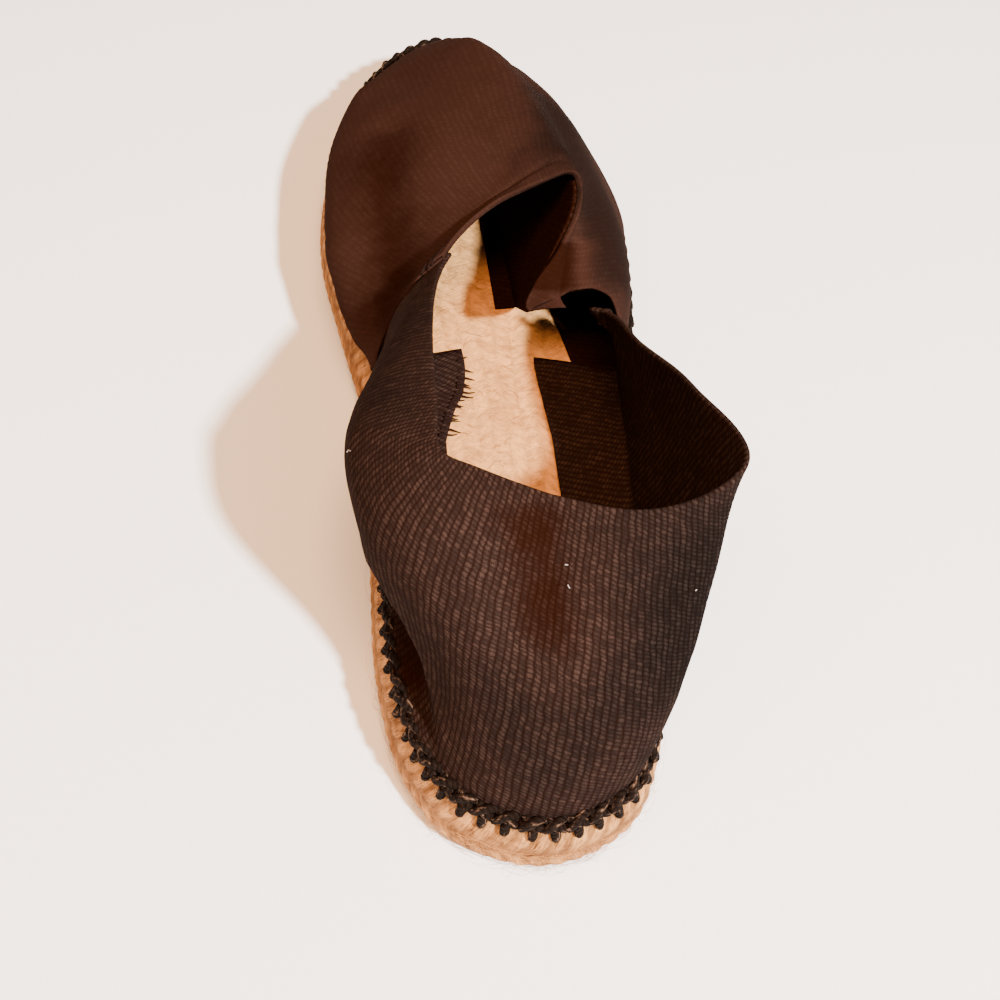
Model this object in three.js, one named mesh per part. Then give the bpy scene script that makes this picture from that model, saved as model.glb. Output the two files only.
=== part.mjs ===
import * as THREE from "three";

// An empty slip-on shoe for the right foot: a wound jute sole under a slack canvas upper, in millimetres.
// X runs to the wearer's right, Y to the toe and Z up. The origin is on the floor under the shoe's middle.

// Driving dimensions
const SOLE_LENGTH = 268;
const BALL_WIDTH = 90;
const SOLE_THICKNESS = 20;
const HEEL_HEIGHT = 59;
const INSTEP_HEIGHT = 40.5;
const TOE_SPRING = 5;
const WAIST_LIFT = 1.5;
const CANVAS_WALL = 1.6;
const VAMP_STEP = 0.9;
const SEAM_INSET = 3.8;
const STITCH_PITCH = 5.6;
const GAP = 0.3;

// Where the flat heel and forefoot of the sole end, as shares of its length
const HEEL_FLAT_END = 0.27;
const FOREFOOT_FLAT_START = 0.5;
const TOE_SPRING_START = 0.8;

// How finely the curves are cut
const CUTS_PER_RIB = 4;
const CUTS_UP_THE_WALL = 12;
const SMALL_STEP = 1e-4;
const HALF_SEAM_STEP = 4e-4;

const CANVAS = { color: 0x3d2a25, roughness: 0.95, metalness: 0 };
const JUTE = { color: 0xd9b58f, roughness: 0.9, metalness: 0 };
const THREAD = { color: 0x17151a, roughness: 0.8, metalness: 0 };

// Ribs of the upper, once around the shoe from the back of the heel along the inner side.
// along and aside: where the rib meets the sole's outline, as shares of its length and half the ball width.
// edgeAlong, edgeAside and rise: where the canvas ends; rise is a share of its piece's height over the sole.
// low and high: how far the canvas bellies off the straight line at a third and two thirds of the way.
const RIBS = table(
  ["place", "piece", "along", "aside", "edgeAlong", "edgeAside", "rise", "low", "high"],
  [
    ["heel back", "heel", 0.0, 0.0, 0.177, 0.011, 1.0, 6, 3],
    ["heel turn, inner", "heel", 0.026, -0.451, 0.194, -0.2, 0.992, 5, 6],
    ["heel fold, inner", "heel", 0.078, -0.667, 0.213, -0.4, 0.983, 2, 11],
    ["heel side, inner", "heel", 0.164, -0.776, 0.231, -0.544, 0.966, 2, 13],
    ["collar fold, inner", "heel", 0.284, -0.782, 0.291, -0.54, 0.898, 3, 16],
    ["waist, inner", "heel", 0.388, -0.749, 0.384, -0.511, 0.763, 3, 11],
    ["quarter end, inner", "heel", 0.437, -0.76, 0.463, -0.456, 0.627, 3, 6],
    ["side seam, inner", "vamp", 0.478, -0.778, 0.534, -0.344, 0.741, 5, 5],
    ["wing, inner", "vamp", 0.59, -0.904, 0.571, -0.178, 0.79, 6, 1.5],
    ["ball, inner", "vamp", 0.694, -1.0, 0.591, 0.0, 0.852, 8, 2.5],
    ["ball front, inner", "vamp", 0.787, -0.971, 0.599, 0.133, 0.901, 10, 4.5],
    ["toes, inner", "vamp", 0.873, -0.849, 0.604, 0.244, 0.951, 10, 6.5],
    ["toe turn, inner", "vamp", 0.938, -0.662, 0.608, 0.322, 0.98, 7, 6],
    ["toe side, inner", "vamp", 0.981, -0.413, 0.61, 0.378, 0.995, 8, 6],
    ["toe tip", "vamp", 1.0, -0.122, 0.608, 0.411, 1.0, 9, 6],
    ["toe side, outer", "vamp", 0.978, 0.169, 0.601, 0.422, 0.993, 8, 6],
    ["toe turn, outer", "vamp", 0.931, 0.471, 0.59, 0.422, 0.963, 7, 5.5],
    ["toes, outer", "vamp", 0.866, 0.716, 0.575, 0.396, 0.914, 6, 5.5],
    ["ball front, outer", "vamp", 0.785, 0.88, 0.558, 0.344, 0.84, 6, 6.5],
    ["ball, outer", "vamp", 0.694, 0.973, 0.537, 0.267, 0.741, 7.5, 9],
    ["wing, outer", "vamp", 0.59, 0.947, 0.513, 0.178, 0.642, 10, 12],
    ["wing tip, outer", "vamp", 0.478, 0.844, 0.493, 0.144, 0.568, 9, 12],
    ["side seam, outer", "heel", 0.437, 0.813, 0.476, 0.522, 0.475, 3, 4],
    ["waist, outer", "heel", 0.388, 0.787, 0.392, 0.633, 0.678, 2, 2],
    ["collar side, outer", "heel", 0.284, 0.747, 0.31, 0.767, 0.864, 2, 2],
    ["collar corner, outer", "heel", 0.164, 0.698, 0.213, 0.867, 1.017, 1, 0],
    ["heel side, outer", "heel", 0.08, 0.613, 0.181, 0.667, 1.012, 4, 3],
    ["heel turn, outer", "heel", 0.027, 0.422, 0.166, 0.367, 1.005, 6, 4],
  ],
);
const VAMP_START = "side seam, inner";
const VAMP_END = "side seam, outer";

// Side of the sole from the floor up: how far it stands out from the outline, at a share of the thickness.
const SOLE_SIDE = table(
  ["out", "up"],
  [
    [-1.2, 0.0],
    [0.8, 0.1],
    [1.6, 0.25],
    [1.6, 0.45],
    [0.9, 0.65],
    [-0.4, 0.8],
    [-2.4, 1.0],
  ],
);

// Section of one edge stitch, up its outer face and down its inner one, measured from the sole's top edge.
const STITCH_SECTION = table(
  ["out", "up"],
  [
    [1.6, -6.2],
    [1.2, -4.0],
    [0.7, -1.0],
    [0.1, 1.1],
    [-1.0, 2.3],
    [-2.2, 1.9],
    [-2.6, 0.45],
    [-1.95, 0.3],
    [0.0, -3.7],
    [0.95, -6.2],
  ],
);

// Between two stitches the section hangs down less far, and its outer face is drawn in above a height.
const BETWEEN_STITCHES = { reach: 0.4, drawnIn: 0.35, drawnInAbove: -1 };

function table(columns, rows) {
  return rows.map((row) => Object.fromEntries(columns.map((name, i) => [name, row[i]])));
}

function closedCurve(points, kind) {
  return new THREE.CatmullRomCurve3(points, true, kind);
}

const pieceHeight = { heel: HEEL_HEIGHT, vamp: INSTEP_HEIGHT };
const soleLine = closedCurve(
  RIBS.map((rib) => new THREE.Vector3((rib.aside * BALL_WIDTH) / 2, rib.along * SOLE_LENGTH, 0)),
  "centripetal",
);
const edgeLine = closedCurve(
  RIBS.map(
    (rib) =>
      new THREE.Vector3(
        (rib.edgeAside * BALL_WIDTH) / 2,
        rib.edgeAlong * SOLE_LENGTH,
        SOLE_THICKNESS + rib.rise * pieceHeight[rib.piece],
      ),
  ),
  "centripetal",
);
const bellyLine = closedCurve(
  RIBS.map((rib) => new THREE.Vector3(rib.low, rib.high, 0)),
  "catmullrom",
);

// Height of the sole's underside over the floor: flat heel and forefoot, a hollow waist and a lifted toe.
function lift(y) {
  const share = y / SOLE_LENGTH;
  const waist = THREE.MathUtils.clamp(
    (share - HEEL_FLAT_END) / (FOREFOOT_FLAT_START - HEEL_FLAT_END),
    0,
    1,
  );
  const toe = Math.max(0, share - TOE_SPRING_START) / (1 - TOE_SPRING_START);
  return WAIST_LIFT * Math.sin(Math.PI * waist) ** 2 + TOE_SPRING * toe ** 2;
}

function outward(along) {
  return new THREE.Vector3(-along.y, along.x, 0).normalize();
}

// A point beside the sole's outline: out millimetres from it and up millimetres from the floor.
function besideSole(point, tangent, out, up) {
  const place = point.clone().addScaledVector(outward(tangent), out);
  place.z = up + lift(place.y);
  return place;
}

// Belly of a rib: a cubic through nothing at both ends, low at a third and high at two thirds.
function belly(share, low, high) {
  const cubicScale = 27 / 2;
  const lowPart = low * share * (share - 2 / 3) * (share - 1);
  const highPart = high * share * (share - 1 / 3) * (share - 1);
  return cubicScale * (lowPart - highPart);
}

// Middle of the canvas: turn goes once around the shoe, and share goes from the sole to the canvas's edge.
function canvasMiddle(turn, share) {
  const wrapped = THREE.MathUtils.euclideanModulo(turn, 1);
  const tangent = soleLine.getTangent(wrapped);
  const foot = besideSole(soleLine.getPoint(wrapped), tangent, -SEAM_INSET, SOLE_THICKNESS + GAP);
  const edge = edgeLine.getPoint(wrapped);
  const bellies = bellyLine.getPoint(wrapped);
  const chord = edge.clone().sub(foot);
  const away = outward(tangent).add(new THREE.Vector3(0, 0, 1));
  away.addScaledVector(chord, -away.dot(chord) / chord.lengthSq()).normalize();
  return foot.addScaledVector(chord, share).addScaledVector(away, belly(share, bellies.x, bellies.y));
}

function canvasNormal(turn, share) {
  const around = canvasMiddle(turn + SMALL_STEP, share).sub(canvasMiddle(turn - SMALL_STEP, share));
  const up = canvasMiddle(turn, share + SMALL_STEP).sub(canvasMiddle(turn, share - SMALL_STEP));
  const normal = up.cross(around);
  if (share === 0) normal.z = 0;
  return normal.normalize();
}

// Places around the shoe where the wall is cut, with a narrow step at each end of the vamp.
function canvasTurns() {
  const turns = [];
  const count = RIBS.length * CUTS_PER_RIB;
  const start = RIBS.findIndex((rib) => rib.place === VAMP_START) / RIBS.length;
  const end = RIBS.findIndex((rib) => rib.place === VAMP_END) / RIBS.length;
  for (let i = 0; i < count; i++) {
    const turn = i / count;
    if (turn === start || turn === end) {
      turns.push({ turn: turn - HALF_SEAM_STEP, step: turn === start ? 0 : VAMP_STEP });
      turns.push({ turn: turn + HALF_SEAM_STEP, step: turn === start ? VAMP_STEP : 0 });
    } else {
      turns.push({ turn, step: turn > start && turn < end ? VAMP_STEP : 0 });
    }
  }
  return turns;
}

// Joins rings of points, each closed around the shoe, into one surface that faces out where rings climb.
function ringFaces(rings, joinLastToFirst) {
  const around = rings[0].length;
  const bands = joinLastToFirst ? rings.length : rings.length - 1;
  const faces = [];
  for (let band = 0; band < bands; band++) {
    const near = band * around;
    const far = ((band + 1) % rings.length) * around;
    for (let i = 0; i < around; i++) {
      const next = (i + 1) % around;
      faces.push(near + i, far + i, far + next);
      faces.push(near + i, far + next, near + next);
    }
  }
  return faces;
}

// Closes a ring across the shoe with strips from its inner side to its outer side, facing up.
function crossFaces(first, around) {
  const faces = [];
  for (let i = 0; i < around / 2; i++) {
    const near = [first + i, first + ((around - i) % around)];
    const far = [first + i + 1, first + around - i - 1];
    if (far[0] !== far[1]) faces.push(near[1], far[1], far[0]);
    if (near[0] !== near[1]) faces.push(near[1], far[0], near[0]);
  }
  return faces;
}

function geometryOf(rings, faces) {
  const geometry = new THREE.BufferGeometry().setFromPoints(rings.flat());
  geometry.setIndex(faces);
  geometry.computeVertexNormals();
  return geometry;
}

function makeSole() {
  const count = RIBS.length * CUTS_PER_RIB;
  const rings = SOLE_SIDE.map((row) =>
    Array.from({ length: count }, (_, i) =>
      besideSole(
        soleLine.getPoint(i / count),
        soleLine.getTangent(i / count),
        row.out,
        row.up * SOLE_THICKNESS,
      ),
    ),
  );
  const top = crossFaces((rings.length - 1) * count, count);
  const underside = crossFaces(0, count).reverse();
  return geometryOf(rings, [...ringFaces(rings, false), ...top, ...underside]);
}

function makeUpper() {
  const turns = canvasTurns();
  const shares = Array.from({ length: CUTS_UP_THE_WALL + 1 }, (_, i) => i / CUTS_UP_THE_WALL);
  const outside = shares.map((share) =>
    turns.map(({ turn, step }) => {
      const out = CANVAS_WALL / 2 + (share > 0 ? step : 0);
      return canvasMiddle(turn, share).addScaledVector(canvasNormal(turn, share), out);
    }),
  );
  const inside = shares.map((share) =>
    turns.map(({ turn }) =>
      canvasMiddle(turn, share).addScaledVector(canvasNormal(turn, share), -CANVAS_WALL / 2),
    ),
  );
  const rings = [...outside, ...inside.reverse()];
  return geometryOf(rings, ringFaces(rings, true));
}

function makeEdgeStitching() {
  const stitches = Math.round(soleLine.getLength() / STITCH_PITCH);
  const count = stitches * 2;
  const rings = STITCH_SECTION.map((row) =>
    Array.from({ length: count }, (_, i) => {
      const between = i % 2 === 1;
      const reach = between && row.up < 0 ? BETWEEN_STITCHES.reach : 1;
      const isDrawnIn = between && row.out > 0 && row.up > BETWEEN_STITCHES.drawnInAbove;
      return besideSole(
        soleLine.getPointAt(i / count),
        soleLine.getTangentAt(i / count),
        row.out - (isDrawnIn ? BETWEEN_STITCHES.drawnIn : 0),
        SOLE_THICKNESS + row.up * reach,
      );
    }),
  );
  return geometryOf(rings, ringFaces(rings, true));
}

function namedMesh(name, geometry, finish) {
  const mesh = new THREE.Mesh(geometry, new THREE.MeshStandardMaterial(finish));
  mesh.name = name;
  return mesh;
}

const shoe = new THREE.Group();
shoe.add(namedMesh("sole", makeSole(), JUTE));
shoe.add(namedMesh("upper", makeUpper(), CANVAS));
shoe.add(namedMesh("edge_stitching", makeEdgeStitching(), THREAD));

// The heel's back is at Y zero while the pieces are worked out; the whole shoe then moves over its origin.
const middle = new THREE.Box3().setFromObject(shoe).getCenter(new THREE.Vector3());
shoe.position.set(-middle.x, -middle.y, 0);

export default shoe;
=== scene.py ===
"""Canvas, jute and thread of an empty espadrille for the right foot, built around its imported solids."""

import functools
import math
import random

import bmesh
import bpy
import numpy as np
from bpy.props import FloatProperty, FloatVectorProperty, IntProperty, PointerProperty
from mathutils import Matrix, Vector, noise


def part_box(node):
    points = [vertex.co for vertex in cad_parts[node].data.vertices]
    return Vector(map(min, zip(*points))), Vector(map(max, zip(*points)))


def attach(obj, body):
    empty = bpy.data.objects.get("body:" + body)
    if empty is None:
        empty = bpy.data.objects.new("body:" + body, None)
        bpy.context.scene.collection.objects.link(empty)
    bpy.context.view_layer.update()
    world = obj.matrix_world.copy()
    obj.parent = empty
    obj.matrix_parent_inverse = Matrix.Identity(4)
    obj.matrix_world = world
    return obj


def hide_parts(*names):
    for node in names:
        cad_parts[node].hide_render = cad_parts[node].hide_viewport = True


bl_info = {
    "name": "Espadrille",
    "version": (1, 0, 0),
    "blender": (4, 5, 0),
    "location": "View3D > Sidebar > Espadrille",
    "description": "Makes the canvas, jute and thread of an empty espadrille around its solids",
    "category": "Object",
}

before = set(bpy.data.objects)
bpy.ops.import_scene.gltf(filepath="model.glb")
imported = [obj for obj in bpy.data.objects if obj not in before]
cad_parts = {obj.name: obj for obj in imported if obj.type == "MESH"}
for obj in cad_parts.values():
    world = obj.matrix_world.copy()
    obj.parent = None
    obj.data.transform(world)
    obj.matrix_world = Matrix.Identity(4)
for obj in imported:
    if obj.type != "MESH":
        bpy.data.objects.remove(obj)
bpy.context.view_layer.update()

MM = 0.001
BODY = "root"
SMALL_STEP = 1e-4

# Ribs of the upper, once around the shoe from the back of the heel along the inner side.
# along and aside: where the rib meets the sole's outline, as shares of its length and of half the ball width.
# edge_along, edge_aside and rise: where the canvas ends; rise is a share of its piece's height over the sole.
# low and high: how far the canvas bellies off the straight line, in millimetres, at one and two thirds of it.
RIB_COLUMNS = ("place", "piece", "along", "aside", "edge_along", "edge_aside", "rise", "low", "high")
RIB_ROWS = (
    ("heel back", "heel", 0.0, 0.0, 0.177, 0.011, 1.0, 6, 3),
    ("heel turn, inner", "heel", 0.026, -0.451, 0.194, -0.2, 0.992, 5, 6),
    ("heel fold, inner", "heel", 0.078, -0.667, 0.213, -0.4, 0.983, 2, 11),
    ("heel side, inner", "heel", 0.164, -0.776, 0.231, -0.544, 0.966, 2, 13),
    ("collar fold, inner", "heel", 0.284, -0.782, 0.291, -0.54, 0.898, 3, 16),
    ("waist, inner", "heel", 0.388, -0.749, 0.384, -0.511, 0.763, 3, 11),
    ("quarter end, inner", "heel", 0.437, -0.76, 0.463, -0.456, 0.627, 3, 6),
    ("side seam, inner", "vamp", 0.478, -0.778, 0.534, -0.344, 0.741, 5, 5),
    ("wing, inner", "vamp", 0.59, -0.904, 0.571, -0.178, 0.79, 6, 1.5),
    ("ball, inner", "vamp", 0.694, -1.0, 0.591, 0.0, 0.852, 8, 2.5),
    ("ball front, inner", "vamp", 0.787, -0.971, 0.599, 0.133, 0.901, 10, 4.5),
    ("toes, inner", "vamp", 0.873, -0.849, 0.604, 0.244, 0.951, 10, 6.5),
    ("toe turn, inner", "vamp", 0.938, -0.662, 0.608, 0.322, 0.98, 7, 6),
    ("toe side, inner", "vamp", 0.981, -0.413, 0.61, 0.378, 0.995, 8, 6),
    ("toe tip", "vamp", 1.0, -0.122, 0.608, 0.411, 1.0, 9, 6),
    ("toe side, outer", "vamp", 0.978, 0.169, 0.601, 0.422, 0.993, 8, 6),
    ("toe turn, outer", "vamp", 0.931, 0.471, 0.59, 0.422, 0.963, 7, 5.5),
    ("toes, outer", "vamp", 0.866, 0.716, 0.575, 0.396, 0.914, 6, 5.5),
    ("ball front, outer", "vamp", 0.785, 0.88, 0.558, 0.344, 0.84, 6, 6.5),
    ("ball, outer", "vamp", 0.694, 0.973, 0.537, 0.267, 0.741, 7.5, 9),
    ("wing, outer", "vamp", 0.59, 0.947, 0.513, 0.178, 0.642, 10, 12),
    ("wing tip, outer", "vamp", 0.478, 0.844, 0.493, 0.144, 0.568, 9, 12),
    ("side seam, outer", "heel", 0.437, 0.813, 0.476, 0.522, 0.475, 3, 4),
    ("waist, outer", "heel", 0.388, 0.787, 0.392, 0.633, 0.678, 2, 2),
    ("collar side, outer", "heel", 0.284, 0.747, 0.31, 0.767, 0.864, 2, 2),
    ("collar corner, outer", "heel", 0.164, 0.698, 0.213, 0.867, 1.017, 1, 0),
    ("heel side, outer", "heel", 0.08, 0.613, 0.181, 0.667, 1.012, 4, 3),
    ("heel turn, outer", "heel", 0.027, 0.422, 0.166, 0.367, 1.005, 6, 4),
)
RIBS = [dict(zip(RIB_COLUMNS, row)) for row in RIB_ROWS]

# Side of the sole from the floor up: millimetres out from the outline, at a share of the thickness; and its
# shoulder, from the top edge down
SOLE_SIDE = ((-1.2, 0.0), (0.8, 0.1), (1.6, 0.25), (1.6, 0.45), (0.9, 0.65), (-0.4, 0.8), (-2.4, 1.0))
SOLE_SHOULDER = SOLE_SIDE[:-5:-1]

# Where the sole's flat heel ends, and its flat forefoot and its toe spring begin, as shares of its length
HEEL_FLAT_END = 0.27
FOREFOOT_FLAT_START = 0.5
TOE_SPRING_START = 0.8

# How finely the sole's line is measured, and the share of a rib up to which the canvas's foot faces level
LINE_CUTS = 2000
LEVEL_FOOT = 0.04

# Where each piece of canvas begins and ends, counted in ribs; at the outer side the ends run by shares of
# the rib, and the heel piece runs on under the vamp.
VAMP_START = 7.0
VAMP_END = ((0.0, 21.6), (0.2, 21.4), (0.4, 21.0), (0.6, 20.6), (0.74, 20.5), (0.84, 20.55), (1.0, 21.05))
HEEL_START = (
    (0.0, 20.9), (0.45, 20.9), (0.55, 20.75), (0.62, 20.85), (0.7, 21.3), (0.8, 21.6), (1.0, 21.85),
)
HEEL_END = 35.2

# Main creases, by the ribs and shares of rib that each runs through: width and height in millimetres, and
# how crisp the crest is, from 1 for a sharp fold to 2 for a soft one.
CREASE_COLUMNS = ("place", "piece", "path", "width", "height", "crispness")
CREASE_ROWS = (
    ("trough down the back", "heel", ((28.15, 1.0), (28.4, 0.82), (28.5, 0.6), (28.6, 0.45)), 8, -2.2, 2),
    ("swell left of the trough", "heel", ((29.3, 0.95), (29.3, 0.7), (29.2, 0.5)), 8, 0.8, 2),
    ("fold of the inner side", "heel",
     ((31.2, 0.6), (30.95, 0.53), (30.7, 0.45), (30.35, 0.33), (30.05, 0.23), (29.8, 0.16), (29.45, 0.05)),
     3.5, 1.9, 1.1),
    ("fold of the collar", "heel", ((30.9, 1.0), (31.5, 0.94), (31.8, 0.88), (32.1, 0.76)), 3, 1.0, 1),
    ("hollow under the fold", "heel", ((31.7, 0.4), (31.2, 0.34), (30.8, 0.24), (30.4, 0.14)), 6, -2.2, 2),
    ("foot of the inner wall", "heel",
     ((32.6, 0.0), (31.6, 0.0), (30.8, 0.0), (30.2, 0.0), (29.7, 0.0)), 4, 2.2, 2),
    ("dent by the outer corner", "heel", ((27.0, 0.9), (26.6, 0.6), (26.9, 0.35)), 9, -1.2, 2),
    ("fold of the outer corner", "heel", ((25.3, 1.0), (25.8, 0.6), (26.3, 0.3)), 5, 1.0, 1.5),
    ("sag of the inner quarter", "heel", ((33.4, 0.9), (33.0, 0.82), (32.4, 0.86)), 8, -1.0, 2),
    ("trough along the vamp", "vamp",
     ((11.4, 0.3), (10.2, 0.4), (9.2, 0.42), (8.2, 0.45), (7.3, 0.46)), 10, -2.8, 2),
    ("swell over the inner seam", "vamp",
     ((12.0, 0.05), (10.8, 0.06), (9.4, 0.06), (8.3, 0.07), (7.2, 0.06)), 6, 2.8, 2),
    ("swell over the waist", "vamp", ((8.8, 0.06), (8.1, 0.07), (7.6, 0.07), (7.2, 0.06)), 7, 2.0, 2),
    ("swell over the outer seam", "vamp",
     ((15.6, 0.06), (17.0, 0.06), (18.4, 0.06), (19.6, 0.06)), 6, 2.0, 2),
    ("ridge of the vamp", "vamp",
     ((14.0, 1.0), (14.1, 0.86), (14.1, 0.74), (14.0, 0.62), (13.9, 0.5), (13.9, 0.36), (13.8, 0.2)),
     6, 2.4, 1),
    ("hollow beside the ridge", "vamp", ((15.1, 0.94), (15.5, 0.72), (15.3, 0.5), (15.1, 0.32)), 7, -2.2, 2),
    ("notch at the toe", "vamp", ((14.8, 0.34), (14.6, 0.22), (14.6, 0.08)), 5, -3.2, 2),
    ("dent before the throat", "vamp", ((10.2, 0.9), (11.5, 0.84), (13.0, 0.86)), 6, -0.7, 2),
    ("roll of the outer wing", "vamp", ((19.0, 0.62), (19.8, 0.66), (20.4, 0.72)), 7, 1.0, 2),
)
CREASES = [dict(zip(CREASE_COLUMNS, row)) for row in CREASE_ROWS]

# Tones of the cloth by the same measures: above 0 the cloth is deeper and redder, below 0 darker and greyer.
# Much of this is painted shade, as noted over the rows.
TONE_COLUMNS = ("place", "piece", "path", "width", "tone", "crispness")
TONE_ROWS = (
    # Painted shade in the trough down the back
    ("trough down the back", "heel",
     ((28.75, 1.0), (28.55, 0.88), (28.35, 0.78), (28.2, 0.66), (28.2, 0.5)), 9, 0.95, 2),
    # Fading of the dye, darkened further as painted shade where the key light falls strongest
    ("outer part of the back", "heel", ((25.2, 1.0), (26.2, 0.8), (26.4, 0.5), (26.5, 0.2)), 22, -0.85, 2),
    # Painted shade on the inner wall under the fold
    ("inner wall", "heel", ((32.0, 0.2), (31.4, 0.2), (30.8, 0.14), (30.3, 0.06)), 9, 1.0, 2),
    ("middle of the back", "heel", ((29.0, 0.55), (28.7, 0.45), (28.0, 0.3), (27.5, 0.2)), 18, -0.5, 2),
    # Greyer over the collar fold and on the inner quarter: fading of the dye, and the cool light on the
    # quarter painted in
    ("over the collar fold", "heel", ((31.8, 1.0), (32.2, 0.93), (32.6, 0.8)), 6, -0.3, 2),
    ("inner quarter", "heel", ((34.4, 0.9), (33.2, 0.85), (32.3, 0.9)), 16, -0.35, 2),
    # Painted shade in the trough along the vamp and at its inner end
    ("trough along the vamp", "vamp",
     ((10.9, 0.34), (10.0, 0.36), (9.0, 0.4), (8.0, 0.45), (7.3, 0.4)), 11, 0.75, 2),
    ("inner end of the vamp", "vamp", ((7.6, 0.7), (7.2, 0.5), (7.4, 0.2)), 10, 0.7, 2),
    # Painted shade on the vamp's outer side, beside its ridge, over the wing and in the roll at the wing's
    # edge
    ("outer side of the vamp", "vamp", ((15.9, 0.9), (16.4, 0.5), (16.6, 0.25)), 14, -0.75, 2),
    ("shade beside the ridge", "vamp", ((15.0, 0.97), (15.3, 0.75), (15.1, 0.55), (14.9, 0.35)), 7, -0.5, 2),
    ("wing", "vamp", ((17.0, 0.76), (18.0, 0.68), (19.0, 0.64), (19.8, 0.62), (20.7, 0.45)), 17, -1.05, 2),
    ("edge of the wing", "vamp", ((18.2, 1.0), (19.0, 0.96), (19.8, 0.96), (20.5, 0.95)), 8, 1.9, 2),
)
TONES = [dict(zip(TONE_COLUMNS, row)) for row in TONE_ROWS]

# How finely a crease's or tone's path is walked, its strength at its ends, and over how many of its points
# it grows to full
PATH_CUTS = 40
END_STRENGTH = 0.35
END_FADE = 0.6

# Tones of the heel piece's inner layer, where it stands and where it lies on the footbed: painted shade
# inside the shoe
INNER_TONE = 0.3
TURNED_IN_TONE = 0.15

# Unevenness of slack cloth: how high and how wide
SLACK_HEIGHT = 0.45 * MM
SLACK_SIZE = 17 * MM

# How a panel is cut: rows under the stitches, how far out these reach and are pressed into the braid, how
# the rows above crowd towards the edge, and angles round the fold there
FOOT_CUTS = 3
FOOT_REACH = 1.6 * MM
FOOT_SINK = 1.6 * MM
ROW_CROWDING = 1.3
FOLD_ANGLES = (60, 30, 0, -30, -60)
HALF_FOLD = len(FOLD_ANGLES) // 2

# Finish of each canvas: its dye, how high the weave stands, how pale its crests are, as wear and painted
# highlight, and how dark its gaps are, as painted shade
CANVAS_FINISHES = {
    "vamp": ("vamp_colour", 0.05, 0.16, 0.03),
    "heel": ("heel_colour", 0.55, 0.5, 0.7),
    # The lining is the same canvas in its deep colour: painted shade inside the throat
    "lining": ("deep_dye_and_shade_colour", 0.5, 0.15, 0.3),
}

# Weave: rows of weft that a row climbs as it crosses one rib, how far the ribs lean, how far threads stray,
# in ribs, the sizes of that straying, of fuzz, of thick places in a thread and of patches of dye, how far
# these patches shift the tone, and the depth of the weave
ROW_CLIMB = 1.0
RIB_LEAN = math.tan(math.radians(10))
STRAY = 0.6
STRAY_SIZE = 7 * MM
FUZZ_SIZE = 0.4 * MM
SLUB_LENGTH = 6 * MM
PATCH_SIZE = 30 * MM
PATCH_TONE = 0.24
WEAVE_DEPTH = 0.14 * MM

# Braid: how much its strands lean, in strands across one turn of it, the height of its lanes' edges as a
# share, the size of its fibres and of its felt, and the depth of both
STRAND_SLANT = 0.8
LANE_EDGE = 0.35
FIBRE_WIDTH = 0.4 * MM
FIBRE_LENGTH = 2.4 * MM
FELT_SIZE = 3 * MM
FELT_DEPTH = 0.7 * MM

# Thread: lengths of one ply's turn and of a rubbed dash, dashes around it, size of its fuzz and depth of
# its plies
PLY_LENGTH = 1.3 * MM
DASH_LENGTH = 2.2 * MM
DASHES_AROUND = 9.0
THREAD_FUZZ = 0.7 * MM
PLY_DEPTH = 0.35 * MM

# How far the heel piece's inner layer lies in on the footbed, by ribs, in millimetres; how high its free
# edge stands, and how much more or less as it waves; how high its cloth lies over the footbed, in plies
TURN_IN_RIBS = (20.9, 22.0, 23.4, 25.0, 28.0, 31.0, 33.1, 33.7, 34.35, 35.2)
TURN_IN_WIDTHS = (23.7, 21.5, 19, 15, 12, 12, 13, 16.2, 19.8, 22.8)
TURN_IN_RISE = 0.7
TURN_IN_WAVE = 0.6
WAVES_PER_RIB = 2.1
TURN_IN_SEAT = 0.6

# The vamp's lining at the outer side: the ribs whose edge it hangs from, which way it sags, and its foot
# and free edge on the footbed from front to back, as shares of the sole's length and of half the ball width
LINING_RIBS = (14.6, 21.0)
LINING_SAG_WAY = (0.7, 0.0, -0.7)
LINING_FOOT = ((0.785, 0.09), (0.705, 0.111), (0.575, 0.169))
LINING_EDGE = ((0.785, 0.0), (0.7, 0.014), (0.573, 0.036))

# The end of the lining that is turned in beside the wing: its foot and free edge, by the same measures
TURNED_IN_FOOT = ((0.6, 0.86), (0.54, 0.82), (0.482, 0.75))
TURNED_IN_EDGE = ((0.59, 0.36), (0.56, 0.4), (0.488, 0.476))

# The line that the braid is wound round: its start and length as shares of the sole's length, and how far
# aside it lies along it, as shares of half the ball width
CORE_START = 0.115
CORE_LENGTH = 0.77
CORE_ALONG = (0.1, 0.4, 0.6, 0.75, 0.9)
CORE_ASIDE = (0.0, 0.02, -0.01, -0.03, -0.11)

# One edge stitch, from the sole's top edge: millimetres along the edge, out from it and up
STITCH_TOOTH = ((0.3, -2.0, 0.8), (0.2, -1.4, -0.4), (0.0, -1.0, -1.8), (0.0, -0.5, -2.9), (0.0, -0.3, -3.9))
STITCH_OVER = ((-3.4, -3.3, 1.3), (-1.6, -2.9, 2.1), (0.4, -2.0, 1.8), (2.1, -1.2, 0.6), (3.4, -1.1, -0.4))
STITCH_UNDER = ((-3.3, -1.1, -0.6), (-1.4, -1.5, 0.3), (0.6, -2.3, 1.1), (2.2, -3.0, 1.5), (3.4, -3.3, 1.1))

# The strands of a stitch with their share of the thread's thickness, and how unevenly they are sewn: as
# shares of the pitch, in millimetres aside and in shares of the thickness
STITCH_STRANDS = ((STITCH_TOOTH, 1.2), (STITCH_UNDER, 1.1), (STITCH_OVER, 1.15))
STITCH_DRIFT = 0.08
STITCH_SWAY = 0.25
STITCH_SWAY_OUT = 0.4
STITCH_THICKNESS = (0.92, 1.08)

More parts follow.
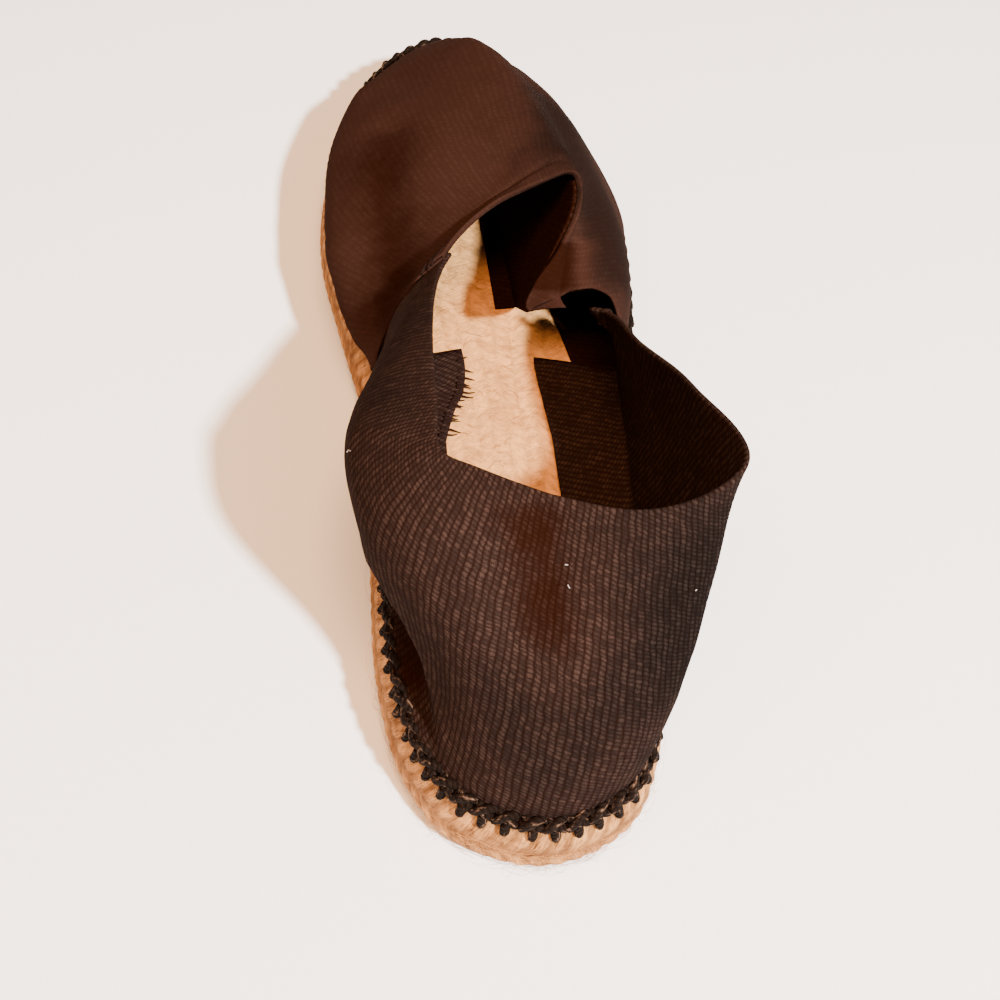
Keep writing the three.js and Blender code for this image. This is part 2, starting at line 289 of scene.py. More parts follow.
# Round the vamp the canvas swells over the stitches, which sit further in and reach less far down
TUCK_RIBS = (0, 5.5, 7, 9.5, 11, 19.5, 22, 28)
TUCK_SHARES = (0, 0, 1.4, 0.9, 0.2, 0.2, 0, 0)
TUCK_IN = 1.0 * MM
TUCK_UP = 0.6

# Loose fibres round the sole: every second one is at the heel, by its middle turn and spread; height as a
# share of the sole's thickness; reach of every fourth one and of the rest, droop and curl in millimetres;
# run in turns; how far its bend goes, in radians; where it leaves the sole, lowest height and thickness in
# millimetres
FIBRE_HEEL = (0.02, 0.06)
FIBRE_UP = (0.08, 0.6)
FIBRE_LONG_REACH = (0.6, 2.6)
FIBRE_SHORT_REACH = (0.1, 0.5)
FIBRE_RUN = (-0.02, 0.02)
FIBRE_DROOP = (-2.5, 2.0)
FIBRE_CURL = (-1.5, 1.5)
FIBRE_CURL_ANGLE = 5
FIBRE_BEND = (1.6, 3.0)
FIBRE_ROOT = 1.3 * MM
FIBRE_LOWEST = 0.3 * MM
FIBRE_RADII = (0.045, 0.025)

# Single hairs on the footbed: length in millimetres, heading in radians with its spread and bend, places
# along and aside as shares of the sole's length and half width, height over the footbed and radius in
# millimetres
HAIR_LENGTH = (2, 5)
HAIR_HEADING = (0.1, 0.4)
HAIR_BEND = (-0.5, 0.5)
HAIR_ALONG = (0.18, 0.75)
HAIR_ASIDE = (-0.5, 0.5)
HAIR_OVER = (0.0, 0.35)
HAIR_RADIUS = 0.07 * MM

# Left edge of the turned-in heel piece where it frays: ribs from and to, lengths of the threads, how far
# they start inside the edge, their radii and heights from root to tip and how far they wave, in
# millimetres; how far they scatter and lean, in ribs, and how far their wave goes, in radians
FRAY_RIBS = (33.2, 35.05)
FRAY_THREADS = 15
FRAY_LENGTHS = (3.2, 5.4)
FRAY_START = 1.5
FRAY_RADII = (0.5, 0.12)
FRAY_HEIGHTS = (1.5, 0.7)
FRAY_WAVE = 0.3
FRAY_SCATTER = 0.03
FRAY_LEAN = 0.06
FRAY_WAVE_ANGLES = (3, 7)

# Tacks at the two ends of the throat, by the ribs and shares where each thread runs from and to; how far
# they stand out at their ends and in their middle, and their radius
TACKS = (
    ((6.95, 0.9), (7.35, 0.93)),
    ((7.0, 0.96), (7.4, 0.98)),
    ((6.9, 0.86), (7.3, 0.89)),
    ((7.3, 0.99), (6.95, 0.93)),
    ((21.75, 0.62), (22.15, 0.72)),
    ((21.7, 0.7), (22.1, 0.8)),
    ((21.8, 0.55), (22.2, 0.66)),
)
TACK_OUT = 1.5 * MM
TACK_BULGE = 0.6 * MM
TACK_RADIUS = 0.35 * MM

# Lint on the canvas: rib, share, length in millimetres and turn; how far it stands out, its bend and
# radius, and how far it curls, in radians
LINT = (
    (3.7, 0.8, 1.5, 1.3),
    (0.05, 0.83, 0.6, 0.3),
    (28.0, 0.77, 0.8, 1.9),
    (2.1, 0.24, 1.3, 0.2),
    (26.4, 0.72, 0.4, 0.4),
)
LINT_OUT = 2.2 * MM
LINT_BEND = 0.22
LINT_RADIUS = 0.09 * MM
LINT_CURL_ANGLES = (2, 6)

# Points along a loose fibre or thread, a hair and a strand of a stitch; how near their seams and ends are
# drawn together, and how upright they run before their sides are measured from another axis
THREAD_CUTS = 7
HAIR_CUTS = 5
STRAND_CUTS = 10
THREAD_CLOSING = 0.001 * MM
STRAND_CLOSING = 0.004 * MM
STEEP = 0.9

# Lamps: name, place, width in metres, power in watts and colour; and the light that fills in all round
LAMPS = (
    ("key", (0.55, -0.84, 1.1), 0.1, 90.0, "#fcfdff"),
    ("top", (-0.05, -0.35, 1.3), 0.5, 24.0, "#ffc08a"),
    ("side", (-0.55, -0.25, 1.1), 0.5, 10.0, "#ffc48e"),
)
FILL_COLOUR = "#ffe8d2"
FILL_STRENGTH = 0.45

# Floor: half its width in metres, and how much its paint clouds over; camera: sensor and nearest sight
FLOOR_SIZE = 10.0
FLOOR_CLOUD = 0.97
SENSOR_WIDTH = 36.0
NEAREST_SIGHT = 0.01


def linear(hex_colour):
    """A colour given as sRGB hex, as the linear values that a shader takes."""
    parts = [int(hex_colour[i : i + 2], 16) / 255 for i in (1, 3, 5)]
    return tuple(c / 12.92 if c <= 0.04045 else ((c + 0.055) / 1.055) ** 2.4 for c in parts)


def length(name, description, default):
    return FloatProperty(name=name, description=description, default=default, unit="LENGTH", precision=5)


def angle(name, description, degrees):
    return FloatProperty(name=name, description=description, default=math.radians(degrees), subtype="ANGLE")


def colour(name, description, hex_colour):
    start = linear(hex_colour)
    return FloatVectorProperty(
        name=name, description=description, default=start, size=3, subtype="COLOR", min=0, max=1
    )


class ESPADRILLE_PG_form(bpy.types.PropertyGroup):
    """Driving sizes of the shoe, the same as those of its solids."""

    sole_length: length("Sole length", "Outline of the sole from heel to toe", 0.268)
    ball_width: length("Ball width", "Widest place of the sole's outline", 0.090)
    sole_thickness: length("Sole thickness", "From the floor to the footbed", 0.020)
    heel_height: length("Heel height", "From the footbed to the collar at the back", 0.059)
    instep_height: length("Instep height", "From the footbed to the peak of the throat", 0.0405)
    toe_spring: length("Toe spring", "How far the toe is lifted off the floor", 0.005)
    waist_lift: length("Waist lift", "How far the waist is lifted off the floor", 0.0015)
    seam_inset: length("Seam inset", "From the sole's outline in to the foot of the canvas", 0.0038)
    canvas_gap: length("Canvas gap", "Clear space between footbed and canvas", 0.0003)
    vamp_lap: length("Vamp lap", "How far the vamp stands out from the heel piece", 0.0009)


class ESPADRILLE_PG_canvas(bpy.types.PropertyGroup):
    """The dark canvas."""

    ply: length("Ply", "Thickness of one layer of canvas", 0.0006)
    collar_gap: length("Collar gap", "Between the middles of the heel piece's two layers", 0.0007)
    lining_sag: length("Lining sag", "How far the vamp's lining hangs off straight", 0.002)
    hem_gap: length("Hem gap", "Between the middles of the hem's two layers", 0.0004)
    hem_step: length("Hem step", "How far the hem stands out", 0.0005)
    hem: length("Hem", "How far the throat's edge is turned in", 0.005)
    rib_spacing: length("Rib spacing", "From one raised warp rib to the next", 0.00165)
    row_spacing: length("Row spacing", "From one weft row to the next", 0.00095)
    # The vamp and the heel piece are one canvas; their colours differ in hue and also as painted light: the
    # heel darker where the key light falls on it more, the vamp lighter
    vamp_colour: colour("Vamp colour", "Warm brown of the vamp", "#291812")
    heel_colour: colour("Heel colour", "Brown of the heel piece", "#1d1411")
    # Also the painted highlights on the beads' crests
    worn_colour: colour("Worn colour", "Rubbed cotton on the crests of the ribs", "#43322b")
    # The deep colour is also painted shade: in the gaps between threads, in the tones above 0 and on the
    # lining
    deep_dye_and_shade_colour: colour("Deep colour", "Red-brown dye between the threads", "#180702")
    lint_colour: colour("Lint colour", "Pale cotton caught on the cloth", "#d8cfc4")
    # The fade colour also paints shade and cool light, in the tones below 0
    fade_and_shade_colour: colour("Grey colour", "What fading takes from the dye", "#a8b6bd")


class ESPADRILLE_PG_jute(bpy.types.PropertyGroup):
    """The wound jute of the sole."""

    lane_width: length("Lane width", "Width of one turn of braid on the footbed", 0.0056)
    strand_pitch: length("Strand pitch", "From one strand of the braid to the next", 0.0045)
    relief: length("Relief", "Depth of the grooves between strands", 0.0008)
    light_colour: colour("Light colour", "Bleached strands", "#f2ae68")
    # Also the painted shade in the grooves and on the sole's side
    dark_colour: colour("Dark colour", "Raw strands and grooves", "#5f3512")
    hairs: IntProperty(name="Hairs", description="Single fibres on the footbed", default=420, min=0)
    fibres: IntProperty(name="Fibres", description="Loose hairs round the sole", default=300, min=0)


class ESPADRILLE_PG_thread(bpy.types.PropertyGroup):
    """The waxed thread of the edge stitching."""

    pitch: length("Pitch", "From one edge stitch to the next", 0.0056)
    diameter: length("Diameter", "Thickness of the sewing thread", 0.0019)
    colour: colour("Colour", "Black thread", "#130c08")
    # Also the painted glints: the pale dashes along the thread
    worn_colour: colour("Worn colour", "Greyed thread on the outside of the loops", "#6e5442")


class ESPADRILLE_PG_stage(bpy.types.PropertyGroup):
    """Floor, light and camera."""

    eye: FloatVectorProperty(
        name="Eye",
        description="Camera's place, from the back of the heel",
        default=(-0.0503, -0.0951, 0.2916),
        size=3,
        subtype="XYZ",
        unit="LENGTH",
    )
    azimuth: angle("Azimuth", "Camera's turn", 14.3)
    dip: angle("Dip", "Camera's look down", 55.1)
    roll: angle("Roll", "Camera's roll", 10.4)
    focal_share: FloatProperty(
        name="Focal share", description="Focal length over image width", default=1.2996
    )
    floor_colour: colour("Floor colour", "Plain pale floor", "#f4f3f1")


class ESPADRILLE_PG_settings(bpy.types.PropertyGroup):
    """All that a user would change."""

    form: PointerProperty(type=ESPADRILLE_PG_form)
    canvas: PointerProperty(type=ESPADRILLE_PG_canvas)
    jute: PointerProperty(type=ESPADRILLE_PG_jute)
    thread: PointerProperty(type=ESPADRILLE_PG_thread)
    stage: PointerProperty(type=ESPADRILLE_PG_stage)


def unit(vectors):
    return vectors / np.linalg.norm(vectors, axis=-1, keepdims=True)


def smooth_step(share):
    share = np.clip(share, 0, 1)
    return share * share * (3 - 2 * share)


def closed_curve(points, turns, evenness):
    """Places on a smooth closed curve; evenness 0.5 spaces it by the gaps between points, and 0 evenly."""
    count = len(points)
    spot = (turns % 1) * count
    first = np.floor(spot).astype(int)
    share = (spot - first)[:, None]
    before, start, end, after = (points[(first + step) % count] for step in (-1, 0, 1, 2))
    gaps = [
        np.maximum(np.linalg.norm(far - near, axis=1, keepdims=True), SMALL_STEP * MM) ** evenness
        for near, far in ((before, start), (start, end), (end, after))
    ]
    leave = (start - before) / gaps[0] - (end - before) / (gaps[0] + gaps[1]) + (end - start) / gaps[1]
    arrive = (end - start) / gaps[1] - (after - start) / (gaps[1] + gaps[2]) + (after - end) / gaps[2]
    leave, arrive = leave * gaps[1], arrive * gaps[1]
    square = 3 * (end - start) - 2 * leave - arrive
    cube = 2 * (start - end) + leave + arrive
    return start + leave * share + square * share**2 + cube * share**3


class Last:
    """The form of the shoe: the sole's line and the canvas over it, in metres and in the part's own frame."""

    def __init__(self, form):
        self.form = form
        half = form.ball_width / 2
        heights = {"heel": form.heel_height, "vamp": form.instep_height}
        self.seam = np.array([(rib["aside"] * half, rib["along"] * form.sole_length, 0) for rib in RIBS])
        self.edge = np.array(
            [
                (
                    rib["edge_aside"] * half,
                    rib["edge_along"] * form.sole_length,
                    form.sole_thickness + rib["rise"] * heights[rib["piece"]],
                )
                for rib in RIBS
            ]
        )
        self.bellies = np.array([(rib["low"] * MM, rib["high"] * MM) for rib in RIBS])
        self.shift = np.zeros(3)
        around = np.linspace(0, 1, LINE_CUTS, endpoint=False)
        widest = max(out for out, up in SOLE_SIDE) * MM
        rim = self.beside_sole(around, widest, 0)
        low, high = (np.array(corner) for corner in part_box("sole"))
        self.shift[:2] = ((low + high) / 2 - (rim.min(0) + rim.max(0)) / 2)[:2]
        steps = np.linalg.norm(np.diff(self.sole_line(np.append(around, 1)), axis=0), axis=1)
        self.turn_marks = np.append(around, 1)
        self.length_marks = np.append(0, np.cumsum(steps))

    def lift(self, y):
        """Height of the sole's underside over the floor."""
        share = y / self.form.sole_length
        waist = np.clip((share - HEEL_FLAT_END) / (FOREFOOT_FLAT_START - HEEL_FLAT_END), 0, 1)
        toe = np.maximum(0, share - TOE_SPRING_START) / (1 - TOE_SPRING_START)
        return self.form.waist_lift * np.sin(math.pi * waist) ** 2 + self.form.toe_spring * toe**2

    def sole_line(self, turns):
        return closed_curve(self.seam, turns, 0.5)

    def tangent(self, turns):
        return unit(self.sole_line(turns + SMALL_STEP) - self.sole_line(turns - SMALL_STEP))

    def outward(self, turns):
        along = self.tangent(turns)
        return np.stack([-along[:, 1], along[:, 0], np.zeros(len(along))], axis=1)

    def beside_sole(self, turns, out, up):
        """Places out from the sole's line and up from the sole's underside."""
        place = self.sole_line(turns) + self.outward(turns) * np.reshape(out, (-1, 1))
        place[:, 2] = up + self.lift(place[:, 1])
        return place + self.shift

    def canvas(self, turns, shares):
        """The middle of the canvas: turns go around the shoe, shares from the sole to the canvas's edge.
        Each rib is a cubic that bellies off its chord by low and high at one and two thirds of it."""
        foot = self.beside_sole(
            turns, -self.form.seam_inset, self.form.sole_thickness + self.form.canvas_gap
        )
        chord = closed_curve(self.edge, turns, 0.5) + self.shift - foot
        low, high = closed_curve(self.bellies, turns, 0).T
        away = self.outward(turns) + np.array((0, 0, 1))
        away = unit(away - chord * ((away * chord).sum(1) / (chord**2).sum(1))[:, None])
        belly = 13.5 * shares * (shares - 1) * (low * (shares - 2 / 3) - high * (shares - 1 / 3))
        return foot + chord * shares[:, None] + away * belly[:, None]

    def canvas_frame(self, turns, shares):
        """Which way the canvas faces out, and which way it climbs, at each place."""
        around = self.canvas(turns + SMALL_STEP, shares) - self.canvas(turns - SMALL_STEP, shares)
        climb = self.canvas(turns, shares + SMALL_STEP) - self.canvas(turns, shares - SMALL_STEP)
        facing = np.cross(climb, around)
        facing[:, 2] *= smooth_step(shares / LEVEL_FOOT)
        return unit(facing), unit(climb)

    def turns_at(self, lengths):
        """Turns at lengths along the sole's line."""
        return np.interp(lengths % self.length_marks[-1], self.length_marks, self.turn_marks)


def to_object(name, bm, material, smooth=True):
    """A new object at the origin from a bmesh, which is freed."""
    mesh = bpy.data.meshes.new(name)
    for face in bm.faces:
        face.smooth = smooth
    bm.to_mesh(mesh)
    bm.free()
    piece = bpy.data.objects.new(name, mesh)
    bpy.context.scene.collection.objects.link(piece)
    mesh.materials.append(material)
    return piece


def dress(piece, node=None):
    """The piece rides on the shoe and may stand for a solid, which it hides."""
    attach(piece, BODY)
    if node:
        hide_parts(node)


def set_inputs(tree, node, inputs):
    """Sets or links a node's inputs, by number or name."""
    for key, value in inputs.items() if isinstance(inputs, dict) else enumerate(inputs):
        if isinstance(value, bpy.types.NodeSocket):
            tree.links.new(value, node.inputs[key])
        else:
            node.inputs[key].default_value = value


def add_node(tree, kind, inputs=(), output=0, **settings):
    """Adds a node with its settings and inputs, and gives one of its outputs."""
    node = tree.nodes.new("ShaderNode" + kind)
    for name, value in settings.items():
        setattr(node, name, value)
    set_inputs(tree, node, inputs)
    return node.outputs[output]


def new_material(name):
    """A new material, add_node for its nodes, and set_inputs for its shader."""
    material = bpy.data.materials.new(name)
    material.use_nodes = True
    tree = material.node_tree
    shader = tree.nodes["Principled BSDF"]
    return material, functools.partial(add_node, tree), functools.partial(set_inputs, tree, shader)


def opaque(colour_value):
    return (*colour_value, 1.0)


def half_waves(add, count):
    """The share across each of many like threads, and its rise from 0 to 1 and back."""
    share = add("Math", (count,), operation="FRACT")
    wave = add("Math", (share, math.pi), operation="MULTIPLY")
    return share, add("Math", (wave,), operation="SINE")


def cotton_canvas(name, canvas):
    """Piece-dyed cotton canvas: beaded warp ribs, matt and dull, paler on the crests with wear and painted
    highlights, and darker red-brown in the gaps as painted shade. The tone attribute deepens the cloth above
    0 and greys it below 0, mostly as painted shade.
    """
    base_colour_name, weave, speckle, gaps = CANVAS_FINISHES[name]
    base, deepest = opaque(getattr(canvas, base_colour_name)), opaque(canvas.deep_dye_and_shade_colour)
    material, add, finish = new_material("cotton canvas, " + name)
    place = add("UVMap", uv_map="cloth")
    aside = add("SeparateXYZ", (place,), "X")
    along = add("SeparateXYZ", (place,), "Y")

    # Threads: ribs that lean, rows that climb across them, and both straying a little
    stray = {"Vector": place, "Scale": 1 / STRAY_SIZE, "Detail": 4.0, "Roughness": 0.6}
    sway = add("Math", (add("TexNoise", stray), 2 * STRAY, -STRAY), operation="MULTIPLY_ADD")
    leaned = add("Math", (along, -RIB_LEAN, aside), operation="MULTIPLY_ADD")
    rib = add("Math", (leaned, 1 / canvas.rib_spacing, sway), operation="MULTIPLY_ADD")
    across, round_crest = half_waves(add, rib)
    crest = add("Math", (round_crest, 0.6), operation="POWER")
    row_lean = add("Math", (across, ROW_CLIMB, sway), operation="MULTIPLY_ADD")
    row = add("Math", (along, 1 / canvas.row_spacing, row_lean), operation="MULTIPLY_ADD")
    bead_height = add("Math", (half_waves(add, row)[1], 0.6, 0.4), operation="MULTIPLY_ADD")
    thread = add("Math", (crest, bead_height), operation="MULTIPLY")
    fuzz = add("TexNoise", {"Vector": place, "Scale": 1 / FUZZ_SIZE, "Detail": 3.0, "Roughness": 0.7})
    soft_fuzz = add("Math", (fuzz, 0.6), operation="MULTIPLY")
    height = add("Math", (thread, weave, soft_fuzz), operation="MULTIPLY_ADD")

    # How pale each bead's crest is, from wear and painted highlight: by chance, by fuzz and by thick places
    # in its thread
    cell = [add("Math", (count,), operation="FLOOR") for count in (rib, row)]
    chance = add("TexWhiteNoise", {"Vector": add("CombineXYZ", cell)}, noise_dimensions="2D")
    chance_gain = add("Math", (chance, 0.5, 0.5), operation="MULTIPLY_ADD")
    fuzz_gain = add("Math", (fuzz, 2.4, -0.2), operation="MULTIPLY_ADD")
    slub_along = add("Math", (along, 1 / SLUB_LENGTH), operation="MULTIPLY")
    slub_place = add("CombineXYZ", (rib, slub_along))
    slub = add("TexNoise", {"Vector": slub_place, "Scale": 1.0, "Detail": 3.0})
    rubbed_and_glint = add("Math", (slub, 1.4, 0.3), operation="MULTIPLY_ADD")
    for gain in (fuzz_gain, chance_gain, thread):
        rubbed_and_glint = add("Math", (rubbed_and_glint, gain), operation="MULTIPLY")

    # Colour: deeper and redder where the tone is above 0 and darker and greyer where it is below 0, much of
    # it painted shade; darker in the gaps as painted shade, and paler on worn crests with painted highlights
    patch = {"Vector": place, "Scale": 1 / PATCH_SIZE, "Detail": 6.0, "Roughness": 0.72}
    drifts = (add("TexNoise", patch), 0.3, 0.7, -PATCH_TONE, PATCH_TONE)
    drift = add("MapRange", drifts, interpolation_type="SMOOTHSTEP")
    tone = add("Attribute", (), "Fac", attribute_name="tone")
    uneven = add("Math", (tone, drift), operation="ADD")
    ranges = (
        (uneven, 0.0, 1.0, 0.0, 0.9),
        (uneven, 0.0, -1.0, 0.0, 1.0),
        (thread, 0.1, 0.6, gaps, 0.0),
        (uneven, 0.1, 1.0, speckle, 0.2 * speckle),
        (rubbed_and_glint, 0.25, 1.15, 0.0, 1.0),
    )
    eased = [add("MapRange", values, interpolation_type="SMOOTHSTEP") for values in ranges]
    deep, grey, groove, wear, pale = eased
    crests = add("Math", (pale, wear), operation="MULTIPLY")
    cloth = base
    for share, tint in ((deep, deepest), (groove, deepest), (crests, opaque(canvas.worn_colour))):
        cloth = add("Mix", {0: share, 6: cloth, 7: tint}, 2, data_type="RGBA")
    faded_and_shaded = {0: grey, 6: cloth, 7: opaque(canvas.fade_and_shade_colour)}
    cloth = add("Mix", faded_and_shaded, 2, data_type="RGBA", blend_type="MULTIPLY")
    bump = add("Bump", {"Strength": 1.0, "Distance": WEAVE_DEPTH, "Height": height})
    finish({"Base Color": cloth, "Normal": bump, "Roughness": 0.95, "Specular IOR Level": 0.01})
    finish({"Sheen Weight": 0.008, "Sheen Tint": opaque(canvas.worn_colour)})
    return material


def jute_braid(jute):
    """Wound jute braid: matt, blond and hairy strands, felted on the footbed, with painted shade that makes
    the grooves redder and the sole's side darker.
    """
    material, add, finish = new_material("jute braid")
    place = add("UVMap", uv_map="braid")
    along = add("SeparateXYZ", (place,), "X")
    turn = add("SeparateXYZ", (place,), "Y")

    # Strands that lean to and fro from lane to lane
    lane = add("Math", (turn,), operation="FLOOR")
    lane_share = add("Math", (turn,), operation="FRACT")
    across = add("Math", (lane_share, 0.5), operation="SUBTRACT")
    lane_size = add("Math", (lane,), operation="ABSOLUTE")
    odd = add("Math", (lane_size, 2.0), operation="MODULO")
    side = add("Math", (odd, 2 * STRAND_SLANT, -STRAND_SLANT), operation="MULTIPLY_ADD")
    slant = add("Math", (across, side), operation="MULTIPLY")
    strand = add("Math", (along, 1 / jute.strand_pitch, slant), operation="MULTIPLY_ADD")
    strand_number = add("Math", (strand,), operation="FLOOR")
    ridge = half_waves(add, strand)[1]
    lane_angle = add("Math", (across, math.pi), operation="MULTIPLY")
    dome = add("Math", (lane_angle,), operation="COSINE")
    swell = add("Math", (ridge, dome), operation="MULTIPLY")
    hollow = add("MapRange", (swell, 0.05, 0.8, 1.0, 0.0), interpolation_type="SMOOTHSTEP")

    # Colour: by strand, fibre and felt, with painted shade in the grooves and on the sole's side; the footbed
    # is lighter, with shallower grooves
    plain = add("Attribute", (), "Fac", attribute_name="footbed")
    # Painted shade in the grooves, deeper on the side than on the footbed
    depth = add("Math", (plain, -0.4, 0.55), operation="MULTIPLY_ADD")
    groove = add("Math", (hollow, depth), operation="MULTIPLY")
    cell = add("CombineXYZ", (lane, strand_number))
    chance = add("TexWhiteNoise", {"Vector": cell}, noise_dimensions="2D")
    fibre_across = add("Math", (strand, jute.strand_pitch / FIBRE_WIDTH), operation="MULTIPLY")
    fibre_along = add("Math", (turn, jute.lane_width / FIBRE_LENGTH), operation="MULTIPLY")
    fibre_place = add("CombineXYZ", (fibre_across, fibre_along))
    fibre = add("TexNoise", {"Vector": fibre_place, "Scale": 1.0, "Detail": 4.0, "Roughness": 0.7})
    where = add("TexCoord", (), "Object")
    felt = add("TexNoise", {"Vector": where, "Scale": 1 / FELT_SIZE, "Detail": 5.0, "Roughness": 0.65})
    # The side starts darker than the footbed: painted shade
    tone = add("Math", (plain, -0.46, -0.86), operation="MULTIPLY_ADD")
    for part, gain in ((felt, 1.1), (fibre, 1.6), (chance, 0.25)):
        tone = add("Math", (part, gain, tone), operation="MULTIPLY_ADD")
    straw, dark = opaque(jute.light_colour), opaque(jute.dark_colour)
    for share in (tone, groove):
        straw = add("Mix", {0: share, 6: straw, 7: dark}, 2, data_type="RGBA")
    height = add("Math", (felt, 0.8, fibre), operation="MULTIPLY_ADD")
    bump = add("Bump", {"Strength": 1.0, "Distance": FELT_DEPTH, "Height": height})
    finish({"Base Color": straw, "Normal": bump, "Roughness": 0.9, "Specular IOR Level": 0.15})
    return material


def plain_fibre(name, first, second, patch_size, roughness):
    """Thin fibres and threads: matt, drifting between two colours along their length."""
    material, add, finish = new_material(name)
    place = add("TexCoord", (), "Object")
    tone = add("TexNoise", {"Vector": place, "Scale": 1 / patch_size, "Detail": 2.0})
    mixed = add("Mix", {0: tone, 6: opaque(first), 7: opaque(second)}, 2, data_type="RGBA")
    finish({"Base Color": mixed, "Roughness": roughness, "Specular IOR Level": 0.05})
    return material


def waxed_thread(thread):
    """Black twisted sewing thread: plies wound together and faintly waxed, with pale dashes of painted glint
    and worn grey.
    """
    material, add, finish = new_material("waxed cotton thread")
    place = add("UVMap", uv_map="thread")
    around = add("SeparateXYZ", (place,), "X")
    along = add("SeparateXYZ", (place,), "Y")
    lean = add("Math", (around, 2.0), operation="MULTIPLY")
    twist = add("Math", (along, 1 / PLY_LENGTH, lean), operation="MULTIPLY_ADD")
    ply = half_waves(add, twist)[1]
    where = add("TexCoord", (), "Object")
    fuzz = add("TexNoise", {"Vector": where, "Scale": 1 / THREAD_FUZZ, "Detail": 3.0})
    dash_around = add("Math", (around, DASHES_AROUND), operation="MULTIPLY")
    dash_along = add("Math", (along, 1 / DASH_LENGTH), operation="MULTIPLY")
    dash_place = add("CombineXYZ", (dash_around, dash_along, fuzz))
    dashes = add("TexNoise", {"Vector": dash_place, "Scale": 1.0, "Detail": 2.0})
    # Pale dashes: painted glints with worn grey
    rubbed_and_glint = add("MapRange", (dashes, 0.55, 0.8, 0.0, 1.0), interpolation_type="SMOOTHSTEP")
    black = {0: rubbed_and_glint, 6: opaque(thread.colour), 7: opaque(thread.worn_colour)}
    tint = add("Mix", black, 2, data_type="RGBA")
    height = add("Math", (fuzz, 0.4, ply), operation="MULTIPLY_ADD")
    bump = add("Bump", {"Strength": 1.0, "Distance": PLY_DEPTH, "Height": height})
    finish({"Base Color": tint, "Normal": bump, "Roughness": 0.7, "Specular IOR Level": 0.03})
    return material


def laid_along(last, row, middle):
    """How strongly a crease or tone acts on each place of the canvas, from 1 on its path to 0 far away."""
    ribs, shares = np.array(row["path"]).T
    walk = np.linspace(0, len(ribs) - 1, PATH_CUTS)
    stops = np.arange(len(ribs))
    line = last.canvas(np.interp(walk, stops, ribs) / len(RIBS), np.interp(walk, stops, shares))
    gaps = np.linalg.norm(middle[:, None, :] - line[None, :, :], axis=2)
    nearest = walk[gaps.argmin(axis=1)]
    from_end = smooth_step(np.minimum(nearest, walk[-1] - nearest) / END_FADE)
    fade = END_STRENGTH + (1 - END_STRENGTH) * from_end
    return fade * np.exp(-((gaps.min(axis=1) / (row["width"] * MM)) ** row["crispness"]))


def crease_heights(last, piece, middle):
    """How far the creases of a piece lift each place of its canvas."""
    rows = [row for row in CREASES if row["piece"] == piece]
    return sum(row["height"] * MM * laid_along(last, row, middle) for row in rows)


def set_tones(last, piece, mesh, middle, inside_shade):
    """Stores the tone of the cloth at each vertex; the heel piece's inner layer has a tone of its own,
    painted shade inside the shoe.
    """
    rows = [row for row in TONES if row["piece"] == piece]
    tones = sum(row["tone"] * laid_along(last, row, middle) for row in rows)
    tones = np.where(inside_shade > 0, inside_shade, tones)
    mesh.attributes.new("tone", "FLOAT", "POINT").data.foreach_set("value", np.clip(tones, -1, 1))


def slack_heights(middle):
    """Small unevenness of slack cloth."""
    return np.array([SLACK_HEIGHT * noise.noise(Vector(place) / SLACK_SIZE) for place in middle])


def panel_rows(gap, outer_cuts, inner_shares):
    """Rows of a panel: out from under the stitches, up outside, over a folded edge and down inside; and the
    number of the row in the middle of the fold. Each row has a share of the rib, an offset out, a reach past
    the edge and a reach out along the sole's shoulder."""
    rows = [(0.0, gap / 2, 0.0, reach) for reach in np.linspace(1, 0, FOOT_CUTS, endpoint=False)]
    rows += [(1 - (1 - share) ** ROW_CROWDING, gap / 2, 0.0, 0.0) for share in np.linspace(0, 1, outer_cuts)]
    for bend in np.radians(FOLD_ANGLES):
        rows.append((1.0, gap / 2 * math.sin(bend), gap / 2 * math.cos(bend), 0.0))
    rows += [(share, -gap / 2, 0.0, 0.0) for share in inner_shares]
    return np.array(rows), FOOT_CUTS + outer_cuts + HALF_FOLD


def lay_foot(last, turns, reach, places, thickness):
    """Moves the rows of a panel's foot onto the sole's shoulder, under the stitches."""
    outs, ups = np.array(SOLE_SHOULDER).T
    out = -last.form.seam_inset + reach * FOOT_REACH
    up = np.interp(out, outs * MM, ups * last.form.sole_thickness) + thickness - reach * FOOT_SINK
    laid = last.beside_sole(turns, out, up)
    return np.where(reach[:, None] > 0, laid, places)


def flat_grid(columns, rows):
    """A grid in bmesh, and each vertex's column as a share and its row as a number."""
    bm = bmesh.new()
    bmesh.ops.create_grid(bm, x_segments=columns, y_segments=rows - 1, size=0.5)
    spots = np.array([vertex.co for vertex in bm.verts]) + 0.5
    return bm, spots[:, 0], np.rint(spots[:, 1] * (rows - 1)).astype(int)


def move_vertices(vertices, places):
    for vertex, place in zip(vertices, places):
        vertex.co = place


